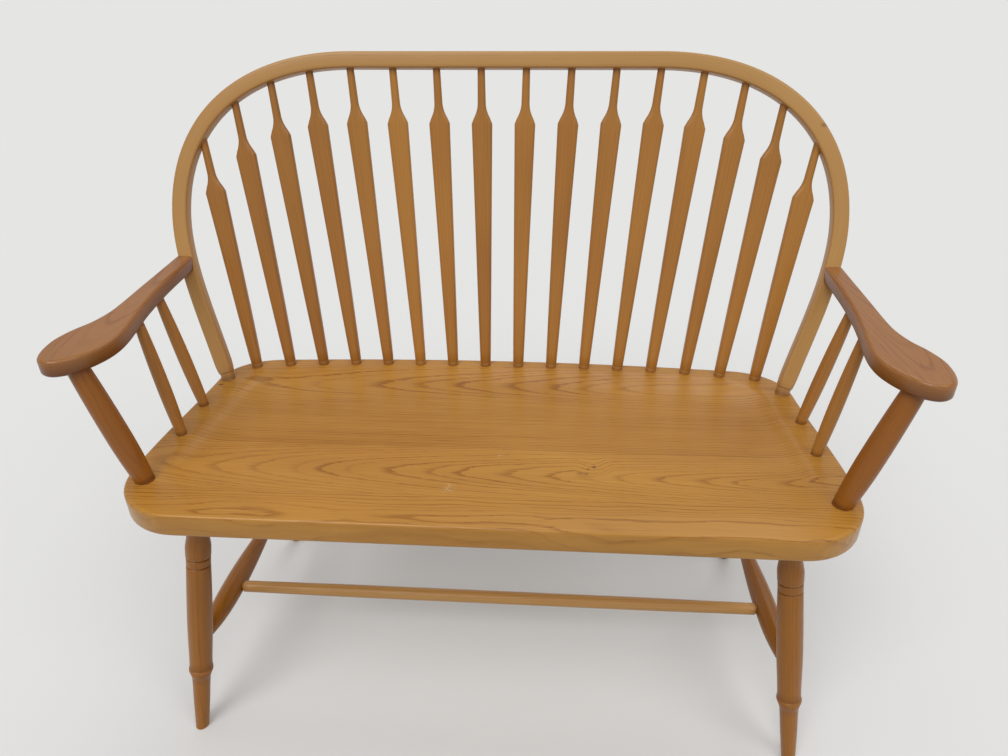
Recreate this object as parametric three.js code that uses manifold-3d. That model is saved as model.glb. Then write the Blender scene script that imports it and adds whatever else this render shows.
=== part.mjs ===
// A deacons bench: a two-seat bow-back bench in oak, all lengths in millimetres.
// +X runs to the right of someone who faces the bench, +Y to its back and +Z up, and the floor is at z = 0.
import * as THREE from "three";
import { mergeVertices } from "three/addons/utils/BufferGeometryUtils.js";
import Module from "manifold-3d";

const wasm = await Module();
wasm.setup();

// Fits
const fitGap = 0.3;
const cutOverrun = 6;
const mergeDistance = 0.001;

// Seat
const seatHeight = 465;
const seatThickness = 34;
const seatDepth = 422;
const seatFrontWidth = 959;
const seatNarrowing = 43;
const seatEase = 4.5;
const seatFrontCorner = 88;
const seatBackCornerWidth = 78;
const seatBackCornerDepth = 84;
const seatBackBulge = 15;

// Saddle of the seat
const dishDepth = 9;
const dishRim = 17;
const dishSideRim = 35;
const dishLift = 0.25;
const dishFrontLand = 14;
const dishFrontRun = 150;
const dishSpineInset = 179.5;
const dishSlopeShare = 0.42;
const dishRingShares = [0, 0.06, 0.15, 0.27, 0.42, 0.62];

// Back spindles
const spindleCount = 16;
const spindleEndInset = 49.25;
const spindleFootInset = 16.5;
const spindleFootSag = 25;
const spindleTopInset = 38;
const spindleTopCrowdShare = 0.09;
const spindleFootRadius = 8.7;
const spindleShoulderWidth = 31.5;
const spindleShoulderDepth = 12.5;
const spindleNeckRadius = 5.6;
const spindleNeckLength = 78;
const spindleSlope = 9;
const spindleFlare = 22;
const spindlePower = 3.6;
// Sections of a spindle's blade and flare: share of the way along, and share of the way to the next section.
const bladeShares = [0.35, 0.68];
const flareShares = [
  [0, 0.34],
  [0.4, 0.72],
  [1, 0.94],
];
const spindleSeatTenon = 20;
const spindleBowTenon = 9;

// Bow
const bowWidth = 24;
const bowDepth = 22;
const bowPower = 5;
const bowLeanDegrees = 20.7;
const bowFootInset = 16;
const bowFootForward = 84;
const bowFlare = 64;
const bowSideRise = 255;
const bowRise = 491;
const bowCornerWidth = 276;
const bowCornerReachShare = 0.6;
const bowCornerDropShare = 0.64;
const bowFootReach = 80;
const bowFootToe = 22;
const bowSquareDrop = 145;
const bowRoundDrop = 166;
const bowLegRadius = 12;
const bowTenonRadius = 10.6;
const bowTenonRise = 9;
const bowTenonDepth = 22;

// Arms
const armRise = 187;
const armThickness = 23;
const armEase = 6;
const armInset = 41;
const armPaddleWidth = 77;
const armTipBack = 50;
// Outline of an arm: across from its inner side in paddle widths, and back from its tip in lengths.
const armOutlineShares = [
  [0.66, 0.0],
  [0.43, 0.017],
  [0.235, 0.058],
  [0.09, 0.113],
  [0.012, 0.17],
  [0.0, 0.24],
  [0.055, 0.33],
  [0.13, 0.42],
  [0.2, 0.53],
  [0.26, 0.68],
  [0.285, 0.84],
  [0.285, 1.02],
  [0.635, 1.02],
  [0.63, 0.84],
  [0.63, 0.66],
  [0.625, 0.48],
  [0.645, 0.39],
  [0.74, 0.31],
  [0.9, 0.24],
  [1.0, 0.17],
  [1.005, 0.11],
  [0.955, 0.055],
  [0.85, 0.016],
];

// Arm posts
const postFootInset = 28.5;
const postFootBack = 70.5;
const postTopOut = 38;
const postTopLean = 11.5;
const postFootRadius = 12.4;
const postBellyRadius = 15.4;
const postTopRadius = 13.2;
const postBellyShare = 0.4;
const postSeatTenon = 20;
const postArmTenon = 15;

// Arm spindles, front and rear
const armSpindleFootInset = 30.5;
const armSpindleFootShares = [0.422, 0.609];
const armSpindleTopOut = [20, 29];
const armSpindleTopLean = [27, 28];
const armSpindleFootRadius = 7.2;
const armSpindleBellyRadius = 9.2;
const armSpindleTopRadius = 6.6;
const armSpindleBellyShare = 0.42;
const armSpindleSeatTenon = 18;
const armSpindleArmTenon = 13;

// Screw and plug that hold each arm to the bow
const screwShankRadius = 2.5;
const screwHeadRadius = 4.5;
const screwHeadHeight = 3.5;
const screwReach = 34;
const plugLength = 6;
const screwHoleSpare = 3;

// Legs: front and rear where a size has two values
const legEndInset = [75.5, 66];
const legEdgeInset = [107, 111];
const legSplay = [54, 48];
const legRake = [70, 162];
const legTenonRadius = 13;
const legTenonDepth = 17;
const legFootRadius = 10;
const legAnkleRadius = 13.6;
const legShoulderRadius = 16.3;
const legCollarRadius = 17.8;
const legBodyFootRadius = 16.5;
const legBodyRadius = 17.6;
const legWaistRadius = 17.1;
const legBulgeRadius = 17.9;
const legNeckRadius = 15.8;
const legHipRadius = 17;
const legGroove = 1.9;
const legBead = 11.6;
const legAnkleRise = 97;
const legShoulderRun = 12.5;
const legCollarHeight = 7;
const legUpperBeadRise = 301;
const legBulgeRise = 331;
const legNeckRise = 348;
const legHipRise = 385;
const legFootEase = 3;

// Stretchers
const stretcherHeight = 157;
const sideStretcherRadius = 17.2;
const sideStretcherEndRadius = 7.6;
const sideStretcherTenonShort = 4;
const sideStretcherBulgeShare = 0.345;
const sideStretcherBluntPower = 2.6;
const centreStretcherRadius = 10.2;
const centreStretcherEndRadius = 9.2;
const centreStretcherTenonRadius = 6.4;
const centreStretcherTenon = 10;
const centreStretcherEase = 2;

// Fineness of the round work
const bowSides = 12;
const bowTopSteps = 4;
const bowCornerSteps = 12;
const bowFootSteps = 8;
const spindleSides = 12;
const turningSides = 12;
const outlineSteps = 7;
const armOutlineSteps = 36;
const bellySteps = 8;
const easeSteps = 2;

// Wood finishes
const seatOak = new THREE.MeshStandardMaterial({ color: 0xb88447, roughness: 0.38, metalness: 0 });
const bowOak = new THREE.MeshStandardMaterial({ color: 0xbe8c50, roughness: 0.38, metalness: 0 });
const spindleOak = new THREE.MeshStandardMaterial({ color: 0xa9702f, roughness: 0.4, metalness: 0 });
const armOak = new THREE.MeshStandardMaterial({ color: 0xa96f42, roughness: 0.36, metalness: 0 });
const legOak = new THREE.MeshStandardMaterial({ color: 0x9c6930, roughness: 0.4, metalness: 0 });
const zincSteel = new THREE.MeshStandardMaterial({ color: 0xb9b7a8, roughness: 0.35, metalness: 1 });

// Sizes that follow from those above
const roundPower = 2;
const seatBottom = seatHeight - seatThickness;
const seatBack = seatDepth / 2;
const seatFront = -seatDepth / 2;
const seatFrontHalf = seatFrontWidth / 2;
const seatBackHalf = seatFrontHalf - seatNarrowing / 2;
const dishSpineHalf = seatFrontHalf - dishSpineInset;
const bowLean = THREE.MathUtils.degToRad(bowLeanDegrees);
const bowFootHalf = seatBackHalf - bowFootInset;
const bowSideHalf = bowFootHalf + bowFlare;
const bowTopHalf = bowSideHalf - bowCornerWidth;
const spindleFootHalf = seatBackHalf - spindleEndInset;
const spindleTopHalf = bowSideHalf - spindleTopInset;
const armInside = bowSideHalf - armInset;
const armTopHeight = seatHeight + armRise;
const armUnderside = armTopHeight - armThickness;
const armTip = seatFront + armTipBack;
const armLength = seatBack - bowFootForward + armRise * Math.tan(bowLean) - armTip;
const armMeetsBow = (armRise - armThickness) / Math.cos(bowLean);
const bowSquareRise = armMeetsBow - bowSquareDrop;
const bowRoundRise = armMeetsBow - bowRoundDrop;
const bowThrough = bowDepth / Math.cos(bowLean);
const screwSunk = plugLength + fitGap;
const legTop = [
  [seatFrontHalf - legEndInset[0], seatFront + legEdgeInset[0]],
  [seatBackHalf - legEndInset[1], seatBack - legEdgeInset[1]],
];
const legFoot = [
  [legTop[0][0] + legSplay[0], legTop[0][1] - legRake[0]],
  [legTop[1][0] + legSplay[1], legTop[1][1] + legRake[1]],
];

const acrossX = new THREE.Vector3(1, 0, 0);
const upZ = new THREE.Vector3(0, 0, 1);
const bothSides = [
  ["left", -1],
  ["right", 1],
];
const rows = ["front", "rear"];

// A closed geometry as a solid for joining and cutting.
function toSolid(geometry) {
  const bare = new THREE.BufferGeometry();
  bare.setAttribute("position", geometry.getAttribute("position").clone());
  if (geometry.index) bare.setIndex(geometry.index.clone());
  const merged = mergeVertices(bare, mergeDistance);
  return new wasm.Manifold(
    new wasm.Mesh({
      numProp: 3,
      vertProperties: new Float32Array(merged.attributes.position.array),
      triVerts: new Uint32Array(merged.index.array),
    }),
  );
}

// A solid back as a geometry with flat faces.
function toGeometry(solid) {
  const mesh = solid.getMesh();
  const indexed = new THREE.BufferGeometry();
  indexed.setAttribute("position", new THREE.BufferAttribute(mesh.vertProperties, 3));
  indexed.setIndex(new THREE.BufferAttribute(mesh.triVerts, 1));
  const geometry = indexed.toNonIndexed();
  geometry.computeVertexNormals();
  return geometry;
}

// Cuts tools, given in the bench's frame, from a piece whose own frame is placed by a matrix.
function carve(geometry, placement, tools) {
  const home = placement.clone().invert();
  let solid = toSolid(geometry);
  for (const tool of tools) solid = solid.subtract(toSolid(tool.clone().applyMatrix4(home)));
  return toGeometry(solid);
}

// The frame of a stick: its length runs along the frame's Y, from its foot to its top.
function stickFrame(foot, top, across = acrossX) {
  const along = top.clone().sub(foot).normalize();
  const side = across.clone().addScaledVector(along, -across.dot(along)).normalize();
  const face = side.clone().cross(along);
  return new THREE.Matrix4().makeBasis(side, along, face).setPosition(foot);
}

// A round hole along a stick, from one distance past its foot to another, with the sides of a turned piece.
function boreAlong(frame, radius, from, to, sides = turningSides, turn = 0) {
  const bore = new THREE.CylinderGeometry(radius, radius, to - from, sides, 1, false, turn);
  bore.translate(0, (from + to) / 2, 0);
  return bore.applyMatrix4(frame);
}

// A hole for a piece made of rings of section points, whose corners are half a step round.
function ringBore(frame, radius, from, to, sides) {
  return boreAlong(frame, radius, from, to, sides, Math.PI / sides);
}

function named(name, geometry, material, placement = new THREE.Matrix4()) {
  const mesh = new THREE.Mesh(geometry, material);
  mesh.name = name;
  mesh.applyMatrix4(placement);
  return mesh;
}

// A turned piece from its profile of radius and distance along its length.
function turned(profile) {
  const points = profile.map(([radius, along]) => new THREE.Vector2(radius, along));
  return new THREE.LatheGeometry(points, turningSides);
}

// The corners of a rounded section between a circle, at power 2, and a soft square, at higher powers.
function sectionRing({ halfWidth, halfDepth, power }, sides) {
  const bend = (value) => Math.sign(value) * Math.abs(value) ** (2 / power);
  return Array.from({ length: sides }, (_, i) => {
    const angle = (Math.PI * (2 * i + 1)) / sides;
    return [halfWidth * bend(Math.cos(angle)), halfDepth * bend(Math.sin(angle))];
  });
}

// Joins rings of points into one closed skin, with a fan over each end.
function skin(rings, ends) {
  const count = rings[0].length;
  const points = [...rings.flat(), ...ends];
  const first = points.length - 2;
  const last = points.length - 1;
  const faces = [];
  rings.forEach((ring, r) => {
    if (r === rings.length - 1) return;
    ring.forEach((_, i) => {
      const a = r * count + i;
      const b = r * count + ((i + 1) % count);
      faces.push(a, b, b + count, a, b + count, a + count);
    });
  });
  const top = (rings.length - 1) * count;
  for (let i = 0; i < count; i++) {
    faces.push(first, (i + 1) % count, i);
    faces.push(last, top + i, top + ((i + 1) % count));
  }
  const geometry = new THREE.BufferGeometry();
  geometry.setAttribute("position", new THREE.Float32BufferAttribute(points.flatMap((p) => p.toArray()), 3));
  geometry.setIndex(faces);
  const flat = geometry.toNonIndexed();
  flat.computeVertexNormals();
  return flat;
}

// The right half of an outline, and then its mirror image.
function mirrored(half) {
  const left = half.filter((p) => p.x > mergeDistance).reverse();
  return [...half, ...left.map((p) => new THREE.Vector2(-p.x, p.y))];
}

// The seat's outline seen from above, drawn in from its edge by one margin, and from its ends by another.
function seatOutline(margin, endMargin = margin) {
  const front = seatFront + margin;
  const back = seatBack - margin;
  const frontHalf = seatFrontHalf - endMargin;
  const backHalf = seatBackHalf - endMargin;
  const corner = seatFrontCorner - margin;
  const sideEnd = back - seatBackCornerDepth;
  const cornerStart = backHalf - seatBackCornerWidth;
  const sideReach = (sideEnd - front - corner) / 3;
  const cornerReach = seatBackCornerDepth / 2;
  const path = new THREE.Path();
  path.moveTo(0, front);
  path.lineTo(frontHalf - corner, front);
  path.absarc(frontHalf - corner, front + corner, corner, -Math.PI / 2, 0);
  path.bezierCurveTo(
    frontHalf, front + corner + sideReach,
    backHalf + (frontHalf - backHalf) / 4, sideEnd - sideReach,
    backHalf, sideEnd,
  );
  path.bezierCurveTo(
    backHalf - seatBackBulge / 3, sideEnd + cornerReach,
    cornerStart + cornerReach, back - seatBackBulge - seatBackBulge / 3,
    cornerStart, back - seatBackBulge,
  );
  path.quadraticCurveTo(cornerStart / 2, back, 0, back);
  return mirrored(path.getPoints(outlineSteps));
}

// How deep the saddle is at a place on the seat: a slope in from the rim, faded out towards the front.
function dishHeight(share, y) {
  const inwards = 1 - Math.min(share / dishSlopeShare, 1);
  const behindFront = (y - seatFront - dishFrontLand) / dishFrontRun;
  const fade = THREE.MathUtils.smoothstep(behindFront, 0, 1);
  return seatHeight + dishLift - (dishDepth + dishLift) * (1 - inwards * inwards) * fade;
}

// The body that hollows the seat: rings from the rim in towards a line along the seat's middle.
function dishTool() {
  const rim = seatOutline(dishRim, dishSideRim);
  const outside = seatOutline(dishRim - cutOverrun, dishSideRim - cutOverrun);
  const above = seatHeight + cutOverrun;
  const spine = (p) => new THREE.Vector2(THREE.MathUtils.clamp(p.x, -dishSpineHalf, dishSpineHalf), 0);
  const rings = dishRingShares.map((share) =>
    rim.map((p) => {
      const flat = p.clone().lerp(spine(p), share);
      return new THREE.Vector3(flat.x, flat.y, dishHeight(share, flat.y));
    }),
  );
  rings.unshift(outside.map((p) => new THREE.Vector3(p.x, p.y, above)));
  rings.forEach((ring) => ring.reverse());
  const ends = [new THREE.Vector3(0, 0, above), new THREE.Vector3(0, 0, seatHeight - dishDepth)];
  return skin(rings, ends);
}

// Points in the bow's leaning plane: across the bench, and up the slope from the seat's top.
function onBow(across, rise, behind = 0) {
  const y = seatBack - bowFootForward + rise * Math.sin(bowLean) + behind * Math.cos(bowLean);
  return new THREE.Vector3(across, y, seatHeight + rise * Math.cos(bowLean) - behind * Math.sin(bowLean));
}

// The right half of the bow's centre line, from its foot on the seat to the middle of its top.
function bowHalfLine() {
  const foot = new THREE.Vector2(bowFootHalf, 0);
  const side = new THREE.Vector2(bowSideHalf, bowSideRise);
  const corner = new THREE.Vector2(bowTopHalf, bowRise);
  const leg = new THREE.CubicBezierCurve(
    foot,
    new THREE.Vector2(foot.x + bowFootToe, bowFootReach),
    new THREE.Vector2(side.x, side.y - bowFootReach),
    side,
  );
  const bend = new THREE.CubicBezierCurve(
    side,
    new THREE.Vector2(side.x, side.y + (corner.y - side.y) * bowCornerDropShare),
    new THREE.Vector2(corner.x + (side.x - corner.x) * bowCornerReachShare, corner.y),
    corner,
  );
  const top = new THREE.LineCurve(corner, new THREE.Vector2(0, bowRise));
  return { leg, bend, top };
}

function bowLine() {
  const { leg, bend, top } = bowHalfLine();
  const right = [...leg.getPoints(bowFootSteps)];
  right.push(...bend.getPoints(bowCornerSteps).slice(1));
  right.push(...top.getPoints(bowTopSteps).slice(1));
  return right;
}

// Where the bow's centre line stands over a place across the bench.
function bowRiseAt(across) {
  const line = bowLine();
  const reach = Math.abs(across);
  const sideStart = line.findIndex((p) => p.y >= bowSideRise);
  for (let i = sideStart + 1; i < line.length; i++) {
    if (line[i].x > reach) continue;
    const share = (line[i - 1].x - reach) / (line[i - 1].x - line[i].x);
    return line[i - 1].y + (line[i].y - line[i - 1].y) * share;
  }
  return bowRise;
}

// How far across the bow's centre line is at a height on its lower sides.
function bowAcrossAt(rise) {
  const line = bowLine();
  const i = line.findIndex((p) => p.y >= rise);
  const share = (rise - line[i - 1].y) / (line[i].y - line[i - 1].y);
  return line[i - 1].x + (line[i].x - line[i - 1].x) * share;
}

// The bow's section at a rise: a soft square that turns round at its foot.
function bowSectionAt(rise) {
  const square = THREE.MathUtils.smoothstep(rise, bowRoundRise, bowSquareRise);
  return {
    halfWidth: THREE.MathUtils.lerp(bowLegRadius, bowWidth / 2, square),
    halfDepth: THREE.MathUtils.lerp(bowLegRadius, bowDepth / 2, square),
    power: THREE.MathUtils.lerp(roundPower, bowPower, square),
  };
}

function bowFootDirection() {
  const { leg } = bowHalfLine();
  return leg.getTangent(0);
}

// The whole line of the bow, from one tenon's end to the other's, with the section at each step.
function bowStations() {
  const down = bowFootDirection();
  const half = bowLine();
  const foot = half[0];
  const below = (distance) => foot.clone().addScaledVector(down, distance);
  const tenon = { halfWidth: bowTenonRadius, halfDepth: bowTenonRadius, power: roundPower };
  const right = [
    { point: below(-bowTenonDepth), section: tenon },
    { point: below(bowTenonRise - fitGap), section: tenon },
    { point: below(bowTenonRise), section: bowSectionAt(0) },
  ];
  for (const point of half) {
    if (point.y > bowTenonRise + bowLegRadius) right.push({ point, section: bowSectionAt(point.y) });
  }
  const across = ({ point, section }) => ({ point: new THREE.Vector2(-point.x, point.y), section });
  return [...right, ...right.slice(0, -1).reverse().map(across)];
}

function bowGeometry() {
  const stations = bowStations();
  const rings = stations.map(({ point, section }, i) => {
    const before = stations[Math.max(i - 1, 0)].point;
    const after = stations[Math.min(i + 1, stations.length - 1)].point;
    const along = after.clone().sub(before).normalize();
    const place = ([a, b]) => onBow(point.x + a * along.y, point.y - a * along.x, b);
    return sectionRing(section, bowSides).map(place);
  });
  const tips = [stations[0], stations[stations.length - 1]];
  return skin(rings, tips.map(({ point }) => onBow(point.x, point.y)));
}

// A back spindle's place: its foot on the seat, its top on the bow's centre line and its length in between.
function backSpindle(index) {
  const share = (2 * index - (spindleCount - 1)) / (spindleCount - 1);
  const footX = share * spindleFootHalf;
  const footY = seatBack - spindleFootInset - (spindleFootSag * (share ** 2 + 2 * share ** 4)) / 3;
  const topX = share * (1 + spindleTopCrowdShare * (1 - share ** 2)) * spindleTopHalf;
  const foot = new THREE.Vector3(footX, footY, seatHeight);
  const top = onBow(topX, bowRiseAt(topX));
  const visible = foot.distanceTo(top) - bowEntry({ foot, top });
  return { foot, top, visible, frame: stickFrame(foot, top) };
}

// How far the bow's centre line is from its inner face, along a spindle that meets it at a slant.
function bowEntry(spindle) {
  const reach = Math.abs(spindle.top.x);
  const near = new THREE.Vector2(reach, bowRiseAt(reach));
  const far = new THREE.Vector2(reach - bowWidth, bowRiseAt(reach - bowWidth));
  const tangent = far.sub(near).normalize();
  const along = spindle.top.clone().sub(spindle.foot).normalize();
  const upSlope = along.y * Math.sin(bowLean) + along.z * Math.cos(bowLean);
  const outwards = Math.abs(along.x);
  const slant = Math.abs(tangent.x * upSlope - tangent.y * outwards);
  return bowWidth / 2 / slant;
}

// The section between two others, by its share of the way from the one to the other.
function sectionBetween(a, b, share) {
  return {
    halfWidth: THREE.MathUtils.lerp(a.halfWidth, b.halfWidth, share),
    halfDepth: THREE.MathUtils.lerp(a.halfDepth, b.halfDepth, share),
    power: THREE.MathUtils.lerp(a.power, b.power, share),
  };
}

// An arrow spindle along its own frame: a round foot, a flat blade that widens, an arrow shoulder and a neck.
function spindleGeometry({ visible }) {
  const shoulder = visible - spindleNeckLength;
  const slope = shoulder + spindleSlope;
  const round = { halfWidth: spindleFootRadius, halfDepth: spindleFootRadius, power: roundPower };
  const wide = {
    halfWidth: spindleShoulderWidth / 2,
    halfDepth: spindleShoulderDepth / 2,
    power: spindlePower,
  };
  const neck = { halfWidth: spindleNeckRadius, halfDepth: spindleNeckRadius, power: roundPower };
  const stations = [
    [-spindleSeatTenon, round],
    [spindleFootRadius, round],
    ...bladeShares.map((share) => [shoulder * share, sectionBetween(round, wide, share)]),
    [shoulder, wide],
    ...flareShares.map(([rise, narrow]) => [slope + spindleFlare * rise, sectionBetween(wide, neck, narrow)]),
    [visible + spindleBowTenon, neck],
  ];
  const rings = stations.map(([along, section]) =>
    sectionRing(section, spindleSides).map(([across, out]) => new THREE.Vector3(across, along, -out)),
  );
  const tips = [-spindleSeatTenon, visible + spindleBowTenon];
  return skin(rings, tips.map((along) => new THREE.Vector3(0, along, 0)));
}

// The sockets that the back spindles need in the seat and in the bow.
function spindleSockets() {
  const seat = [];
  const bow = [];
  for (let i = 0; i < spindleCount; i++) {
    const { frame, visible } = backSpindle(i);
    const end = visible + spindleBowTenon + fitGap;
    const start = -spindleSeatTenon - fitGap;
    seat.push(ringBore(frame, spindleFootRadius + fitGap, start, 2 * cutOverrun, spindleSides));
    bow.push(ringBore(frame, spindleNeckRadius + fitGap, visible - bowWidth / 2, end, spindleSides));
  }
  return { seat, bow };
}

// The profile of a stick that swells from its foot to its belly and narrows again to its top.
function bulgePoints(footRadius, bellyRadius, topRadius, bellyShare, from, to) {
  return Array.from({ length: bellySteps + 1 }, (_, i) => {
    const share = i / bellySteps;
    const low = share < bellyShare;
    const out = low ? 1 - share / bellyShare : (share - bellyShare) / (1 - bellyShare);
    const radius = THREE.MathUtils.lerp(bellyRadius, low ? footRadius : topRadius, out ** 2);
    return [radius, THREE.MathUtils.lerp(from, to, share)];
  });
}

// A stick of the arms, with a tenon at each end.
function swelling(stick) {
  const { footRadius, bellyRadius, topRadius, bellyShare, footTenon, topTenon } = stick;
  const length = stick.foot.distanceTo(stick.top);
  return turned([
    [0, -footTenon],
    [footRadius, -footTenon],
    ...bulgePoints(footRadius, bellyRadius, topRadius, bellyShare, 0, length),
    [topRadius, length + topTenon],
    [0, length + topTenon],
  ]);
}

function armSticks(side) {
  const postY = seatFront + postFootBack;
  const post = {
    name: "arm_post",
    foot: new THREE.Vector3(side * (seatFrontHalf - postFootInset), postY, seatHeight),
    top: new THREE.Vector3(side * (armInside + postTopOut), postY + postTopLean, armUnderside),
    footRadius: postFootRadius,
    bellyRadius: postBellyRadius,
    topRadius: postTopRadius,
    bellyShare: postBellyShare,
    footTenon: postSeatTenon,
    topTenon: postArmTenon,
  };
  const spindles = rows.map((where, i) => {
    const footX = seatFrontHalf - armSpindleFootInset;
    const footY = seatFront + armSpindleFootShares[i] * seatDepth;
    const topX = armInside + armSpindleTopOut[i];
    return {
      name: "arm_spindle_" + where,
      foot: new THREE.Vector3(side * footX, footY, seatHeight),
      top: new THREE.Vector3(side * topX, footY + armSpindleTopLean[i], armUnderside),
      footRadius: armSpindleFootRadius,
      bellyRadius: armSpindleBellyRadius,
      topRadius: armSpindleTopRadius,
      bellyShare: armSpindleBellyShare,
      footTenon: armSpindleSeatTenon,
      topTenon: armSpindleArmTenon,
    };
  });
  return [post, ...spindles];
}

function armShape(side) {
  const place = ([acrossShare, backShare]) =>
    new THREE.Vector2(side * (armInside + acrossShare * armPaddleWidth), armTip + backShare * armLength);
  const points = armOutlineShares.map(place);
  const rear = armOutlineShares.findIndex(([, backShare]) => backShare > 1);
  const loop = [...points.slice(rear + 1), ...points.slice(0, rear + 1)];
  const curve = new THREE.SplineCurve(loop);
  return new THREE.Shape(curve.getPoints(armOutlineSteps));
}

// The slab of space behind a face of the bow, at a distance behind its centre line.
function slabBehindBow(behind) {
  const reach = armLength;
  const slab = new THREE.BoxGeometry(seatFrontWidth * 2, reach, seatHeight);
  slab.rotateX(-bowLean);
  const rise = armRise / Math.cos(bowLean);
  const middle = onBow(0, rise, behind + reach / 2);
  return slab.translate(0, middle.y, middle.z);
}

// The frame of the screw that holds an arm: level, from the bow's back face forwards into the arm's end.
function screwFrame(side) {
  const height = armTopHeight - armThickness / 2;
  const rise = (height - seatHeight + (bowDepth / 2) * Math.sin(bowLean)) / Math.cos(bowLean);
  const start = onBow(side * bowAcrossAt(rise), rise, bowDepth / 2);
  return stickFrame(start, start.clone().setY(start.y - screwReach));
}

function screwGeometry() {
  return turned([
    [0, screwSunk],
    [screwHeadRadius, screwSunk],
    [screwShankRadius, screwSunk + screwHeadHeight],
    [screwShankRadius, bowThrough + screwReach],
    [0, bowThrough + screwReach],
  ]);
}

// A wooden plug over the screw's head, flush with the bow's back face.
function plugGeometry(frame) {
  const plug = boreAlong(new THREE.Matrix4(), screwHeadRadius, -cutOverrun, plugLength);
  return carve(plug, frame, [slabBehindBow(bowDepth / 2)]);
}

function screwHoles(side) {
  const frame = screwFrame(side);
  const shoulder = screwSunk + screwHeadHeight + fitGap;
  const wide = boreAlong(frame, screwHeadRadius + fitGap, -2 * cutOverrun, shoulder);
  const through = boreAlong(frame, screwShankRadius + fitGap, 0, bowThrough + cutOverrun);
  const pilot = boreAlong(frame, screwShankRadius + fitGap, 0, bowThrough + screwReach + screwHoleSpare);
  return { bow: [wide, through], arm: [pilot] };
}

function armGeometry(side) {
  const blank = new THREE.ExtrudeGeometry(armShape(side), {
    depth: armThickness - 2 * armEase,
    bevelThickness: armEase,
    bevelSize: armEase,
    bevelOffset: -armEase,
    bevelSegments: easeSteps,
    steps: 1,
  });
  blank.translate(0, 0, armUnderside + armEase);
  const sockets = armSticks(side).map((stick) => {
    const frame = stickFrame(stick.foot, stick.top);
    const length = stick.foot.distanceTo(stick.top);
    return boreAlong(frame, stick.topRadius + fitGap, length - cutOverrun, length + stick.topTenon + fitGap);
  });
  const trim = slabBehindBow(-bowDepth / 2 - fitGap);
  return carve(blank, new THREE.Matrix4(), [trim, ...sockets, ...screwHoles(side).arm]);
}

// A leg's place, front or rear: its top on the seat's underside and its foot on the floor.
function legPlace(row, side) {
  const [footX, footY] = legFoot[row];
  const [topX, topY] = legTop[row];
  const foot = new THREE.Vector3(side * footX, footY, 0);
  const top = new THREE.Vector3(side * topX, topY, seatBottom);
  return { foot, top, frame: stickFrame(foot, top), length: foot.distanceTo(top) };
}

// A leg's profile from the floor up: a tapered foot, a collar, a long body, a bead between two grooves,
// a bulge, a neck and a hip that narrows into its tenon.
function legProfile(length) {
  const stretch = length / seatBottom;
  const at = (rise) => rise * stretch;
  const collar = at(legAnkleRise) + legShoulderRun;
  return [
    [0, -cutOverrun],
    [legFootRadius, -cutOverrun],
    [legFootRadius, legFootEase],
    [legAnkleRadius, at(legAnkleRise)],
    [legShoulderRadius, collar - legGroove / 2],
    [legShoulderRadius - legGroove / 2, collar],
    [legCollarRadius - legGroove / 4, collar + legGroove / 2],
    [legCollarRadius, collar + legCollarHeight / 2],
    [legCollarRadius - legGroove / 4, collar + legCollarHeight],
    [legBodyFootRadius, collar + legCollarHeight + legGroove / 2],
    [legBodyRadius + legGroove / 4, at((legAnkleRise + legUpperBeadRise) / 2)],
    [legWaistRadius, at(legUpperBeadRise) - legGroove],
    [legWaistRadius - legGroove, at(legUpperBeadRise)],
    [legWaistRadius, at(legUpperBeadRise) + legGroove],
    [legWaistRadius, at(legUpperBeadRise) + legBead],
    [legWaistRadius - legGroove, at(legUpperBeadRise) + legBead + legGroove],
    [legWaistRadius + legGroove / 4, at(legUpperBeadRise) + legBead + 2 * legGroove],
    [legBulgeRadius, at(legBulgeRise)],
    [(legBulgeRadius + legNeckRadius) / 2, at((legBulgeRise + legNeckRise) / 2)],
    [legNeckRadius, at(legNeckRise)],
    [legHipRadius, at(legHipRise)],
    [(legHipRadius + legTenonRadius) / 2, at((legHipRise + seatBottom) / 2)],
    [legTenonRadius, length - legGroove],
    [legTenonRadius, length + legTenonDepth],
    [0, length + legTenonDepth],
  ];
}

// A side stretcher runs between the axes of the two legs on its side.
function sideStretcherPlace(side) {
  const ends = rows.map((_, row) => {
    const { foot, top } = legPlace(row, side);
    return foot.clone().lerp(top, stretcherHeight / seatBottom);
  });
  const [front, rear] = ends;
  return { front, rear, frame: stickFrame(front, rear), length: front.distanceTo(rear) };
}

// A side stretcher is blunt at its front end and runs out slowly to its rear end.
function sideStretcherProfile(length) {
  const end = sideStretcherTenonShort;
  const face = legBodyRadius + fitGap;
  const belly = length * sideStretcherBulgeShare;
  const swell = Array.from({ length: 2 * bellySteps + 1 }, (_, i) => {
    const low = i < bellySteps;
    const out = Math.abs(i / bellySteps - 1);
    const fall = low ? out ** sideStretcherBluntPower : (1 - Math.cos(Math.PI * out)) / 2;
    const radius = THREE.MathUtils.lerp(sideStretcherRadius, sideStretcherEndRadius, fall);
    return [radius, THREE.MathUtils.lerp(belly, low ? face : length - face, out)];
  });
  return [
    [0, end],
    [sideStretcherEndRadius, end],
    ...swell,
    [sideStretcherEndRadius, length - end],
    [0, length - end],
  ];
}

// The centre stretcher runs between the thickest places of the two side stretchers.
function centreStretcherPlace() {
  const [left, right] = bothSides.map(([, side]) => {
    const { front, rear } = sideStretcherPlace(side);
    return front.clone().lerp(rear, sideStretcherBulgeShare);
  });
  return { left, right, frame: stickFrame(left, right, upZ), length: left.distanceTo(right) };
}

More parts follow.
